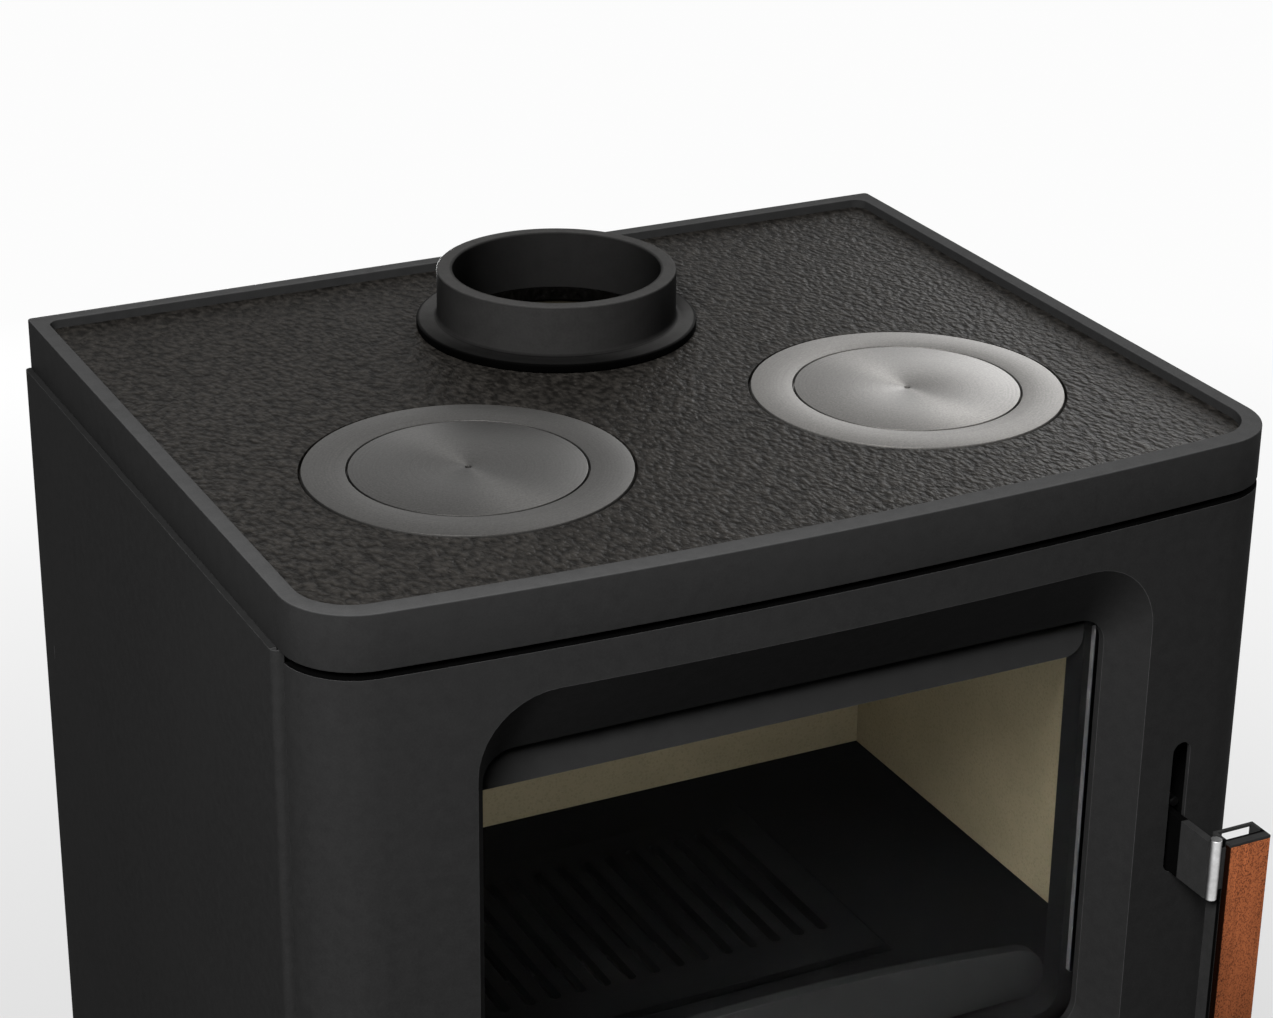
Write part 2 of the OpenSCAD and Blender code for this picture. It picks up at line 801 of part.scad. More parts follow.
// Log guard: an upright plate with an arched top and round shoulders
module log_guard() {
    top = floor_z + guard_h;
    crown = guard_half - guard_r;
    shoulder = top - guard_arch_r + sqrt(guard_arch_r*guard_arch_r - crown*crown);
    color("#303030") across(guard_y, guard_y + guard_t) intersection() {
        union() {
            translate([-guard_half, floor_z]) square([2*guard_half, shoulder - guard_r - floor_z]);
            translate([-crown, floor_z]) square([2*crown, shoulder - floor_z]);
            for (x = [-crown, crown])
                translate([x, shoulder - guard_r]) circle(guard_r, $fn = round_fn);
            intersection() {
                translate([0, top - guard_arch_r]) circle(guard_arch_r, $fn = bow_fn);
                translate([-crown, floor_z]) square([2*crown, guard_h + cut]);
            }
        }
        translate([-guard_half, floor_z]) square([2*guard_half, guard_h + cut]);
    }
}

// Latch keeper: a small box behind the front frame that holds the roller's pin
module latch_keeper() {
    out = latch_half + tray_sheet;
    color("#262626") difference() {
        block([lever_x - out, front_y1, lever_z - latch_down - tray_sheet],
              [lever_x + out, front_y1 + keeper_d, lever_z + latch_up + tray_sheet]);
        block([lever_x - latch_half, front_y1 - cut, lever_z - latch_down],
              [lever_x + latch_half, front_y1 + keeper_d - tray_sheet, lever_z + latch_up]);
        translate([lever_x, roller_y, roller_z])
            along_x(keeper_pin_r, -out - cut, out + cut);
    }
}

module keeper_pin() {
    out = latch_half + tray_sheet;
    color("#8c8c8c") translate([lever_x, roller_y, roller_z]) along_x(keeper_pin_r - run, -out, out);
}

module keeper_roller() {
    wide = latch_half - 2*pass;
    color("#8c8c8c") translate([lever_x, roller_y, roller_z]) difference() {
        along_x(roller_r, -wide, wide);
        along_x(keeper_pin_r, -wide - cut, wide + cut);
    }
}

// Hinge brackets: a knuckle, its arm and an upright pin at each level
module hinge_brackets() {
    color("#3a3a3a") for (z = hinge_levels) {
        block([hinge_x, hinge_y, z - knuckle_h], [hinge_x + 2*knuckle_r, front_y0, z]);
        translate([hinge_x, hinge_y, 0]) upright(knuckle_r, z - knuckle_h, z);
        translate([hinge_x, hinge_y, 0]) upright(hinge_pin_r, z - cut, z + knuckle_h);
    }
}

// A bowed front: the skin with its wrapped corners and its edges turned back at top and bottom
module bowed_front(z0, z1) {
    difference() {
        intersection() {
            rise(z0, z1) plan(0, 0, 0);
            block([-half_w, y_front - cut, z0], [half_w, wrap_y, z1]);
        }
        rise(z0 + skin, z1 - skin) plan(skin, skin, 0);
    }
}

// One round of the window surround, as points in X, Y and Z
function loop_points(half, top, bottom, r, y) = [
    for (c = [[half - r, top + r, 0], [r - half, top + r, 90], [r - half, bottom - r, 180],
              [half - r, bottom - r, 270]])
        each [
            for (a = [0 : loop_steps])
                let (turn = c.z + 90*a/loop_steps, x = c.x + r*cos(turn),
                     z = body_h - c.y + r*sin(turn))
                [x, is_undef(y) ? bow_y(x) : y, z],
            for (i = [1 : loop_steps])
                if (c.z == 0 || c.z == 180)
                    let (x = c.x*(1 - 2*i/(loop_steps + 1)), z = body_h - c.y + r*sin(c.z + 90))
                    [x, is_undef(y) ? bow_y(x) : y, z]
        ]
];

// The window surround's space: straight from a plane behind, then sloped out past the bowed face
module surround(grow, behind) {
    inner = loop_points(window_half + grow, window_top - grow, window_bottom + grow,
                        window_r + grow, flange_y);
    bowed = loop_points(bevel_half + grow, bevel_top - grow, bevel_bottom + grow, bevel_r + grow);
    n = len(inner);
    back = [for (p = inner) [p.x, behind, p.z]];
    outer = [for (i = [0 : n - 1]) bowed[i] + past_share*(bowed[i] - inner[i])];
    middle = body_h - (window_top + window_bottom)/2;
    polyhedron(
        points = concat(back, inner, outer, [
            [0, behind, middle],
            [0, y_front - past_share*bevel_depth, middle]
        ]),
        faces = [
            for (i = [0 : n - 1]) let (j = (i + 1) % n) each [
                [i, j, 3*n],
                [j, i, n + i],
                [n + j, j, n + i],
                [n + j, n + i, 2*n + i],
                [2*n + j, n + j, 2*n + i],
                [2*n + j, 2*n + i, 3*n + 1]
            ]
        ]
    );
}

module at_frame_bolts() {
    for (x = [-post_x, post_x], z = [door_z0 + post_inset, (door_z0 + door_z1)/2, door_z1 - post_inset])
        translate([x, 0, z]) children();
}

// Door casting: bowed face, sloped surround, glass flange, lever slot and bolt posts
module door_casting() {
    color("#2d2d2d") difference() {
        union() {
            bowed_front(door_z0, door_z1);
            intersection() {
                surround(skin, flange_y + flange_t/2);
                rise(door_z0, door_z1) plan(skin/2, skin/2, 0);
            }
            across(flange_y, gasket_y)
                rounded(window_half + flange_w, body_h - window_bottom - flange_w,
                        body_h - window_top + flange_w, window_r + flange_w);
            at_frame_bolts() along_y(post_r, bow_y(post_x) + skin/2, frame_y);
        }
        surround(0, gasket_y + cut);
        across(y_front - cut, flange_y)
            slot_shape([lever_x, lever_z + slot_up - lever_slot_w/2],
                       [lever_x, lever_z - slot_down + lever_slot_w/2], lever_slot_w/2);
        at_frame_bolts() along_y(bolt_r, frame_y - bolt_len - cut, frame_y + cut);
    }
}

// Door frame: back plate, ring with the rope groove, and the hinge knuckles
module door_frame() {
    ring_half = rope_half + rope_in;
    groove_r = rope_r + pass;
    color("#262626") difference() {
        union() {
            block([hinge_x + knuckle_r + wrap_gap/2, frame_y, door_z0 + skin],
                  [half_w - skin - wrap_gap/2, frame_y + plate, door_z1 - skin]);
            across(frame_y, frame_back)
                rounded(ring_half, frame_bottom - 2*rope_in, frame_top + 2*rope_in, window_r);
            for (z = hinge_levels) {
                translate([hinge_x, hinge_y, 0]) upright(knuckle_r, z + pass, z + knuckle_h);
                block([hinge_x, hinge_y - hinge_pin_r, z + pass],
                      [hinge_x + knuckle_r + 2*hinge_pin_r, hinge_y + hinge_pin_r/2, z + knuckle_h]);
                block([hinge_x + knuckle_r + hinge_pin_r, frame_y, z + pass],
                      [hinge_x + knuckle_r + 2*hinge_pin_r, hinge_y, z + knuckle_h]);
            }
        }
        across(frame_y - cut, frame_back + cut)
            rounded(frame_half, frame_bottom, frame_top, window_r - bar_show);
        across(frame_back - 2*rope_r, frame_back + cut) rope_band(groove_r);
        translate([hinge_x, hinge_y, 0]) upright(hinge_pin_r + run, door_z0, door_z1);
        block([lever_x - latch_half, frame_y - cut, lever_z - latch_down],
              [lever_x + latch_half, frame_back + cut, lever_z + latch_up + plate]);
        at_frame_bolts() along_y(bolt_r + fit, frame_y - cut, frame_back);
    }
}

// The seal's path round the fire mouth, with a given half width
module rope_band(r) {
    difference() {
        rounded(rope_half + r, frame_bottom - rope_in - r, frame_top + rope_in + r, window_r + r);
        rounded(rope_half - r, frame_bottom - rope_in + r, frame_top + rope_in - r, window_r - r);
    }
}

module door_rope() {
    color("#8c8a84") across(frame_back - 2*rope_r + pass, front_y0 - pass) rope_band(rope_r);
}

module glass_outline() {
    rounded(window_half + glass_over, body_h - window_bottom - glass_over,
            body_h - window_top + glass_over, glass_over);
}

module window_glass() {
    color("#5a5f60", 0.35) across(glass_y, bar_y) glass_outline();
}

module glass_gasket() {
    color("#c8c4b8") across(gasket_y, glass_y) difference() {
        glass_outline();
        rounded(window_half + gasket_t, body_h - window_bottom - gasket_t,
                body_h - window_top + gasket_t, window_r);
    }
}

module glass_bar(side) {
    color("#8e8e8e") mirrored(side)
        block([frame_half, bar_y, body_h - side_bar_bottom],
              [window_half + glass_over, frame_y, body_h - side_bar_top]);
}

module glass_bar_left() {
    glass_bar(-1);
}

module glass_bar_right() {
    glass_bar(1);
}

// Top glass bar: the plate behind the glass that turns the washing air down over it
module glass_bar_top() {
    color("#4a4a4a") across(bar_y, frame_y)
        rounded(frame_half - bar_show, body_h - top_bar_drop, body_h - window_top + flange_w, top_bar_r);
}

module glass_bar_bottom() {
    color("#4a4a4a") across(bar_y, frame_y)
        rounded(frame_half - bar_show, frame_bottom - 2*glass_over - bar_show,
                body_h - window_bottom - pass, bar_show);
}

module frame_bolts() {
    color("#55524e") at_frame_bolts() {
        along_y(bolt_r - run, frame_y - bolt_len, frame_y + plate + cut);
        translate([0, frame_y + plate, 0]) rotate([-90, 0, 0])
            cylinder(r = 2*bolt_r, h = bolt_r, $fn = 6);
    }
}

// Lever bracket: two ears on the door frame that carry the lever's pin
module lever_bracket() {
    color("#303030") for (side = [-1, 1]) difference() {
        block([lever_x + (side < 0 ? -latch_half - plate : latch_half), lever_y - 2*pivot_r,
               lever_z - ear_half],
              [lever_x + (side < 0 ? -latch_half : latch_half + plate), frame_y,
               lever_z + ear_half]);
        translate([lever_x, lever_y, lever_z])
            along_x(pivot_r, -latch_half - plate - cut, latch_half + plate + cut);
    }
}

module lever_pin() {
    out = latch_half + plate + bar_show/2;
    color("#8c8c8c") translate([lever_x, lever_y, lever_z]) along_x(pivot_r - run, -out, out);
}

// Lever plate: the flag outside the door, the hub and the arm that goes under the roller
module lever_plate() {
    hub_half = latch_half - pass;
    color("#303030") difference() {
        union() {
            block([lever_x - lever_t/2, barrel_y, lever_z - lever_h/2],
                  [lever_x + lever_t/2, lever_y - 2*pivot_r, lever_z + lever_h/2]);
            block([lever_x - lever_t/2, lever_y, arm_z1 - arm_h],
                  [lever_x + lever_t/2, lever_y + arm_len, arm_z1]);
            translate([lever_x, lever_y, lever_z]) along_x(ear_half, -lever_t/2, lever_t/2);
            translate([lever_x, lever_y, lever_z]) along_x(2*pivot_r, -hub_half, hub_half);
        }
        translate([lever_x, lever_y, lever_z]) along_x(pivot_r, -hub_half - cut, hub_half + cut);
        translate([barrel_x, barrel_y, 0])
            upright(barrel_r, lever_z - barrel_len, lever_z + barrel_len);
    }
}

module lever_barrel() {
    color("#d0d0d0") translate([barrel_x, barrel_y, 0])
        upright(barrel_r, lever_z - barrel_len/2, lever_z + barrel_len/2);
}

// Handle channel: open at the back, with a slotted plate across each end and a lug to the barrel
module handle_channel() {
    x1 = handle_x0 + handle_w;
    color("#2b2b2b") difference() {
        union() {
            block([handle_x0, channel_y0, handle_z0], [x1, channel_y1, handle_z1]);
            for (z = [handle_z0, handle_z1 - channel_wall])
                block([handle_x0, handle_y0, z], [x1, channel_y1, z + channel_wall]);
            block([barrel_x, barrel_y - lug_t/2, lever_z - ear_half],
                  [handle_x0 + channel_wall, barrel_y + lug_t/2, lever_z + ear_half]);
        }
        block([handle_x0 + channel_wall, channel_y0 + channel_wall, handle_z0 + channel_wall],
              [x1 - channel_wall, channel_y1 + cut, handle_z1 - channel_wall]);
        block([handle_x0 + channel_wall, channel_y0 + channel_wall, handle_z0 - cut],
              [x1 - channel_wall, channel_y1 - channel_wall, handle_z1 + cut]);
        translate([barrel_x, barrel_y, 0]) upright(barrel_r, handle_z0, handle_z1 + cut);
        inlay_space();
    }
}

module inlay_space() {
    block([handle_x0, handle_y0, handle_z0 + channel_wall],
          [handle_x0 + handle_w, channel_y0, handle_z1 - channel_wall]);
}

module handle_inlay() {
    color("#9c5a34") inlay_space();
}

// A notch for the fingers in the top edge of a drawer front
module finger_notch(z1) {
    across(y_front - cut, wrap_y)
        rounded(notch_half, z1 - notch_h, z1 + notch_h, notch_h/2);
}

// Drawer front: the bowed skin, and two webs that join it to what is behind it
module drawer_front(z0, z1) {
    difference() {
        union() {
            bowed_front(z0, z1);
            for (side = [-1, 1]) mirrored(side) intersection() {
                block([web_x, y_front, z0 + skin], [web_x + skin, liner_y0, z1 - skin]);
                rise(z0, z1) plan(skin/2, skin/2, 0);
            }
        }
        finger_notch(z1);
    }
}

module ash_front() {
    color("#2d2d2d") difference() {
        drawer_front(ash_z0, ash_z1);
        across(y_front - cut, wrap_y)
            slot_shape([0, air_z], [air_shut, air_z], knob_stem_r + fit);
    }
}

module air_row() {
    for (i = [0 : air_slots - 1]) {
        x = (i - (air_slots - 1)/2)*air_pitch;
        translate([x - air_slot_w/2, air_z - air_slot_h/2]) square([air_slot_w, air_slot_h]);
    }
}

// Ash liner: the plate that closes the ash mouth, with air slots and the shutter's two rails
module ash_liner() {
    rail_half = (air_slots*air_pitch)/2 + air_shut;
    color("#262626") {
        difference() {
            block([-ash_half - liner_over, liner_y0, ash_z0 + skin],
                  [ash_half + liner_over, liner_y1, ash_z1 - skin]);
            across(liner_y0 - cut, liner_y1 + cut) air_row();
        }
        for (up = [-1, 1]) translate([0, 0, air_z]) scale([1, 1, up]) {
            block([-rail_half, liner_y0 - 3*tray_sheet, air_half + pass],
                  [rail_half, liner_y0, air_half + pass + tray_sheet]);
            block([-rail_half, liner_y0 - 3*tray_sheet, air_half - tray_sheet],
                  [rail_half, liner_y0 - 2*tray_sheet, air_half + pass + tray_sheet]);
        }
        for (side = [-1, 1]) mirrored(side)
            block([ash_half, liner_y0 - plate, ash_z0 + skin], [web_x, liner_y0, ash_z1 - skin]);
    }
}

// Ash tray: the drawer's sliding bottom, with low sides that hold the pan
module ash_tray() {
    color("#303030") difference() {
        block([pass - ash_half, liner_y1, shelf_z1 + pass], [ash_half - pass, pan_y1 + 2*tray_sheet,
              shelf_z1 + pass + tray_lip]);
        block([pass + tray_sheet - ash_half, front_y1, shelf_z1 + pass + tray_sheet],
              [ash_half - pass - tray_sheet, pan_y1 + pass, shelf_z1 + pass + tray_lip + cut]);
    }
}

module ash_pan() {
    out = ash_half - tray_sheet - 2*pass;
    color("#6e6e6e") difference() {
        block([-out, front_y1 + pass, pan_z0], [out, pan_y1, pan_z0 + pan_h]);
        block([tray_sheet - out, front_y1 + pass + tray_sheet, pan_z0 + tray_sheet],
              [out - tray_sheet, pan_y1 - tray_sheet, pan_z0 + pan_h + cut]);
    }
}

// Air shutter: the sliding plate with its stem and knob
module air_shutter() {
    half = (air_slots*air_pitch)/2;
    y1 = liner_y0 - pass;
    y0 = y1 - tray_sheet + pass;
    color("#b0b0b0") {
        difference() {
            block([-half - air_shut, y0, air_z - air_half], [half, y1, air_z + air_half]);
            translate([-air_shut, 0, 0]) across(y0 - cut, y1 + cut) air_row();
        }
        translate([0, 0, air_z]) along_y(knob_stem_r, y_front - knob_gap, y0 + cut/4);
        translate([0, 0, air_z]) along_y(knob_r, y_front - knob_gap - knob_t, y_front - knob_gap);
    }
}

module log_front() {
    color("#2d2d2d") drawer_front(log_z0, log_z1);
}

// Log drawer box: four sides, a bottom, the flange behind the front and a bar on each side
module log_box() {
    z0 = bottom_z1 + 2*mouth_play;
    color("#303030") {
        difference() {
            union() {
                block([-log_half, liner_y0, z0], [log_half, fire_y1, z0 + log_box_h]);
                block([-web_x - skin, liner_y0, log_z0 + skin],
                      [web_x + skin, liner_y1, log_z1 - skin]);
            }
            block([tray_sheet - log_half, liner_y1, z0 + tray_sheet],
                  [log_half - tray_sheet, fire_y1 - tray_sheet, z0 + log_box_h + cut]);
        }
        for (side = [-1, 1]) mirrored(side)
            block([log_half, liner_y1, z0 + log_box_h/2 - rail_h/2 + tray_sheet + pass],
                  [log_half + rail_w - tray_sheet - pass, fire_y1,
                   z0 + log_box_h/2 + rail_h/2 - tray_sheet - pass]);
    }
}

// Log rails: a channel on each side that the drawer's bar runs in, on two brackets
module log_rails() {
    z = bottom_z1 + 2*mouth_play + log_box_h/2;
    x0 = log_half + pass;
    x1 = log_half + rail_w;
    color("#55524e") for (side = [-1, 1]) mirrored(side) {
        difference() {
            block([x0, front_y1, z - rail_h/2], [x1, fire_y1, z + rail_h/2]);
            block([x0 - cut, front_y1 - cut, z - rail_h/2 + tray_sheet],
                  [x1 - tray_sheet, fire_y1 + cut, z + rail_h/2 - tray_sheet]);
        }
        for (y = [front_y1 + stay_h, fire_y1 - 2*stay_h])
            block([x1, y, z - rail_h/2], [wall_x0, y + stay_h, z + rail_h/2]);
    }
}

plinth();
carcass_left();
carcass_right();
carcass_back();
carcass_bottom();
front_frame();
middle_shelf();
ash_chamber();
firebox_base();
side_panel_left();
side_panel_right();
rear_panel();
rear_stays();
side_spacers();
hob_frame();
hob_casting();
ring_left();
ring_right();
disc_left();
disc_right();
flue_collar();
collar_bolts();
floor_casting();
grate_tile();
lining_left();
lining_right();
lining_back();
baffle_board();
baffle_ledges();
log_guard();
latch_keeper();
keeper_pin();
keeper_roller();
hinge_brackets();
door_casting();
door_frame();
door_rope();
window_glass();
glass_gasket();
glass_bar_left();
glass_bar_right();
glass_bar_top();
glass_bar_bottom();
frame_bolts();
lever_bracket();
lever_pin();
lever_plate();
lever_barrel();
handle_channel();
handle_inlay();
ash_front();
ash_liner();
ash_tray();
ash_pan();
air_shutter();
log_front();
log_box();
log_rails();
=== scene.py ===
"""Dresses the bow-fronted cooking stove. Metres, +Z up, the front faces -Y."""

import logging
import math
from dataclasses import dataclass
from enum import Enum
from typing import Callable, Sequence

import bmesh
import bpy
from mathutils import Matrix, Vector


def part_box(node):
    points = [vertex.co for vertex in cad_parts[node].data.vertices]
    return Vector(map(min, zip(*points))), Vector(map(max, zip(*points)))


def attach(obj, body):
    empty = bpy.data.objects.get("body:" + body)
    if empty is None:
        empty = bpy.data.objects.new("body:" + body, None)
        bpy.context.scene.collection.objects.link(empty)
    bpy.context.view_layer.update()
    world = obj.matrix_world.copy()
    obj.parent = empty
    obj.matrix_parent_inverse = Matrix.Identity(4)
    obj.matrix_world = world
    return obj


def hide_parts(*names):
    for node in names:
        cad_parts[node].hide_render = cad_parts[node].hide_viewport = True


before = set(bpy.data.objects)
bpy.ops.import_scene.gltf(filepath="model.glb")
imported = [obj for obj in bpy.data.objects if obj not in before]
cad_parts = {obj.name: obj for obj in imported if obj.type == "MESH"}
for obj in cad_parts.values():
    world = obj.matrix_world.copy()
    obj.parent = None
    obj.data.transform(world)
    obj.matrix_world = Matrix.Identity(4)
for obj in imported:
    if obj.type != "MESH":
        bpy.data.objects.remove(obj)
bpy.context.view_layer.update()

log = logging.getLogger("stove")
logging.basicConfig(level=logging.INFO, format="%(name)s: %(message)s")

Point = tuple[float, float, float]
Colour = tuple[float, float, float, float]
Corner = tuple[float, float]
Outline = tuple[float, float, float, float]
Depth = Callable[[float], float]
Socket = bpy.types.NodeSocket
Source = Socket | float | Sequence[float]
Mesh = bmesh.types.BMesh
Vert = bmesh.types.BMVert
Edge = bmesh.types.BMEdge

FULL_TURN = 2 * math.pi
QUARTER = math.pi / 2
UP = Vector((0, 0, 1))
FACING = Vector((0, -1, 0))
SIDEWAYS = Vector((1, 0, 0))

# Vertices nearer to each other than this become one
MERGED = 1e-6
# Vertices this near to a level or a face lie on it
TOUCH = 1e-5
# A face narrower than this belongs to a rounded edge
STRIP = 0.0008
# The attribute that marks rounded outer edges, where the paint carries a painted highlight
EDGE_HIGHLIGHT_ATTRIBUTE = "rubbed"
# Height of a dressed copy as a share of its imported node's height
HEIGHT_SHARES: dict[str, float] = {"log_guard": 0.87}
# Edges sharper than this many radians are shaded sharp
SHARP = 0.6
# Faces of a copied node that differ less than this many degrees become one
FLAT_DEGREES = 0.2
# Edges of a plain piece that are sharper than this many degrees are rounded
COPY_DEGREES = 40.0
# Facets round a corner of an upright outline, and stretches along its level and upright sides
ROUND_STEPS = 10
LEVEL_STEPS = 24
UPRIGHT_STEPS = 12


class Group(Enum):
    """The node groups that several finishes share."""

    PEEL = "paint peel"
    SMUDGE = "smudges"
    PEBBLE = "cast pebbles"
    TURNING = "turning marks"
    SPECKLE = "speckle"


class Body(Enum):
    """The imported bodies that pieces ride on."""

    CARCASS = "carcass"
    GRATE = "grate"
    GUARD = "guard"
    ROLLER = "roller"
    RING_LEFT = "plate_ring_left"
    RING_RIGHT = "plate_ring_right"
    DISC_LEFT = "plate_disc_left"
    DISC_RIGHT = "plate_disc_right"
    DOOR = "fire_door"
    LEVER = "door_lever"
    ASH = "ash_drawer"
    BIN = "ash_bin"
    AIR = "air_control"
    LOGS = "log_drawer"


class Hand(Enum):
    """The stove's two sides, as in the node names."""

    LEFT = "left"
    RIGHT = "right"

    @property
    def sign(self) -> int:
        """Minus one on the left, one on the right."""
        return -1 if self is Hand.LEFT else 1


def grey(level: float) -> Colour:
    """A neutral colour of one level."""
    return (level, level, level, 1.0)


def shade(colour: Colour, factor: float) -> Colour:
    """A colour made lighter or darker by a factor."""
    return tuple(min(1.0, c * factor) for c in colour[:3]) + (1.0,)


def against(place: Sequence[float]) -> Point:
    """The shift that brings a place to the origin."""
    return tuple(-c for c in place)


class Sheet:
    """A node tree being laid out.

    Args:
        tree: the node tree of a material, a world or a node group.
    """

    def __init__(self, tree: bpy.types.NodeTree) -> None:
        """Keeps the tree to add to."""
        self.tree = tree

    def add(self, kind: str, **values: object) -> bpy.types.Node:
        """Adds a node and sets its properties.

        Args:
            kind: the node's type.
            values: properties of the node by name.

        Returns:
            The new node.
        """
        node = self.tree.nodes.new(kind)
        for name, value in values.items():
            setattr(node, name, value)
        return node

    def join(self, source: Source, target: Socket) -> None:
        """Links an output to an input, or sets a plain value on the input.

        Args:
            source: an output or a plain value.
            target: the input.
        """
        if isinstance(source, Socket):
            self.tree.links.new(source, target)
        else:
            target.default_value = source

    def run(
        self, kind: str, inputs: dict[str | int, Source], output: str | int, **values: object
    ) -> Socket:
        """Adds a node and feeds its inputs.

        Args:
            kind: the node's type.
            inputs: what goes into each input, by name or number.
            output: the output that is wanted, by name or number.
            values: properties of the node by name.

        Returns:
            The output.
        """
        node = self.add(kind, **values)
        for name, source in inputs.items():
            self.join(source, node.inputs[name])
        return node.outputs[output]

    def place(
        self, scale: Point = (1, 1, 1), turn: Point = (0, 0, 0), shift: Point = (0, 0, 0)
    ) -> Socket:
        """Object coordinates through a Mapping node.

        Args:
            scale: scale along each axis.
            turn: angle about each axis.
            shift: what is added along each axis.

        Returns:
            The place.
        """
        coords = self.add("ShaderNodeTexCoord")
        inputs = {
            "Vector": coords.outputs["Object"], "Scale": scale, "Rotation": turn, "Location": shift
        }
        return self.run("ShaderNodeMapping", inputs, "Vector")

    def noise(
        self, vector: Source, scale: Source, detail: float = 3.0, rough: float = 0.5
    ) -> Socket:
        """A noise texture's value, by the number of its finer layers and their strength."""
        inputs = {"Vector": vector, "Scale": scale, "Detail": detail, "Roughness": rough}
        return self.run("ShaderNodeTexNoise", inputs, "Fac")

    def cells(self, vector: Source, scale: Source, feature: str = "SMOOTH_F1") -> Socket:
        """A Voronoi texture's distance."""
        inputs = {"Vector": vector, "Scale": scale}
        return self.run("ShaderNodeTexVoronoi", inputs, "Distance", feature=feature)

    def maths(
        self, operation: str, first: Source, second: Source = 0.0, third: Source = 0.0
    ) -> Socket:
        """One sum."""
        inputs = {0: first, 1: second, 2: third}
        return self.run("ShaderNodeMath", inputs, "Value", operation=operation)

    def times(self, first: Source, second: Source) -> Socket:
        """A product."""
        return self.maths("MULTIPLY", first, second)

    def along(self, value: Source, slope: Source, start: Source) -> Socket:
        """A value times a slope, plus a start."""
        return self.maths("MULTIPLY_ADD", value, slope, start)

    def vectors(
        self, operation: str, first: Source, second: Source, output: str = "Vector"
    ) -> Socket:
        """One sum with vectors."""
        inputs = {0: first, 1: second}
        return self.run("ShaderNodeVectorMath", inputs, output, operation=operation)

    def spread(
        self, value: Source, low: float, high: float, out_low: float = 0.0, out_high: float = 1.0
    ) -> Socket:
        """A value's range spread over another, clamped.

        Args:
            value: the value.
            low: where its range begins.
            high: where its range ends.
            out_low: what the beginning becomes.
            out_high: what the end becomes.

        Returns:
            The new value.
        """
        inputs = {
            "Value": value, "From Min": low, "From Max": high, "To Min": out_low, "To Max": out_high
        }
        return self.run("ShaderNodeMapRange", inputs, "Result")

    def blend(self, share: Source, first: Source, second: Source) -> Socket:
        """Two colours mixed, by the second one's share."""
        inputs = {0: share, 6: first, 7: second}
        return self.run("ShaderNodeMix", inputs, 2, data_type="RGBA")

    def scaled(self, colour: Source, level: Source) -> Socket:
        """A colour or a vector times a level, which may go above one."""
        inputs = {0: colour, "Scale": level}
        return self.run("ShaderNodeVectorMath", inputs, "Vector", operation="SCALE")

    def axis(self, vector: Source, name: str) -> Socket:
        """One axis of a vector."""
        return self.run("ShaderNodeSeparateXYZ", {0: vector}, name)

    def flattened(self, vector: Source) -> Socket:
        """A vector without its Z."""
        return self.vectors("MULTIPLY", vector, (1.0, 1.0, 0.0))

    def length(self, vector: Source) -> Socket:
        """A vector's length."""
        return self.run("ShaderNodeVectorMath", {0: vector}, "Value", operation="LENGTH")

    def away(self, axis: Point) -> Socket:
        """Distance from an upright axis."""
        return self.length(self.flattened(self.place(shift=against(axis))))

    def facing(self, direction: Sequence[float]) -> Socket:
        """How far the surface looks along a direction, from minus one to one."""
        normal = self.add("ShaderNodeNewGeometry").outputs["True Normal"]
        return self.vectors("DOT_PRODUCT", normal, direction, "Value")

    def bump(
        self, height: Source, distance: float, strength: float = 1.0, normal: Socket | None = None
    ) -> Socket:
        """A relief.

        Args:
            height: the pattern that is raised.
            distance: its height in metres.
            strength: how much of it shows.
            normal: a coarser relief that it lies on.

        Returns:
            The normal.
        """
        inputs = {"Strength": strength, "Distance": distance, "Height": height}
        if normal is not None:
            inputs["Normal"] = normal
        return self.run("ShaderNodeBump", inputs, "Normal")

    def mask(self, kind: Group, vector: Source, scale: float) -> Socket:
        """A shared group's mask."""
        inputs = {"Vector": vector, "Scale": scale}
        return self.run("ShaderNodeGroup", inputs, "Mask", node_tree=shared_group(kind))


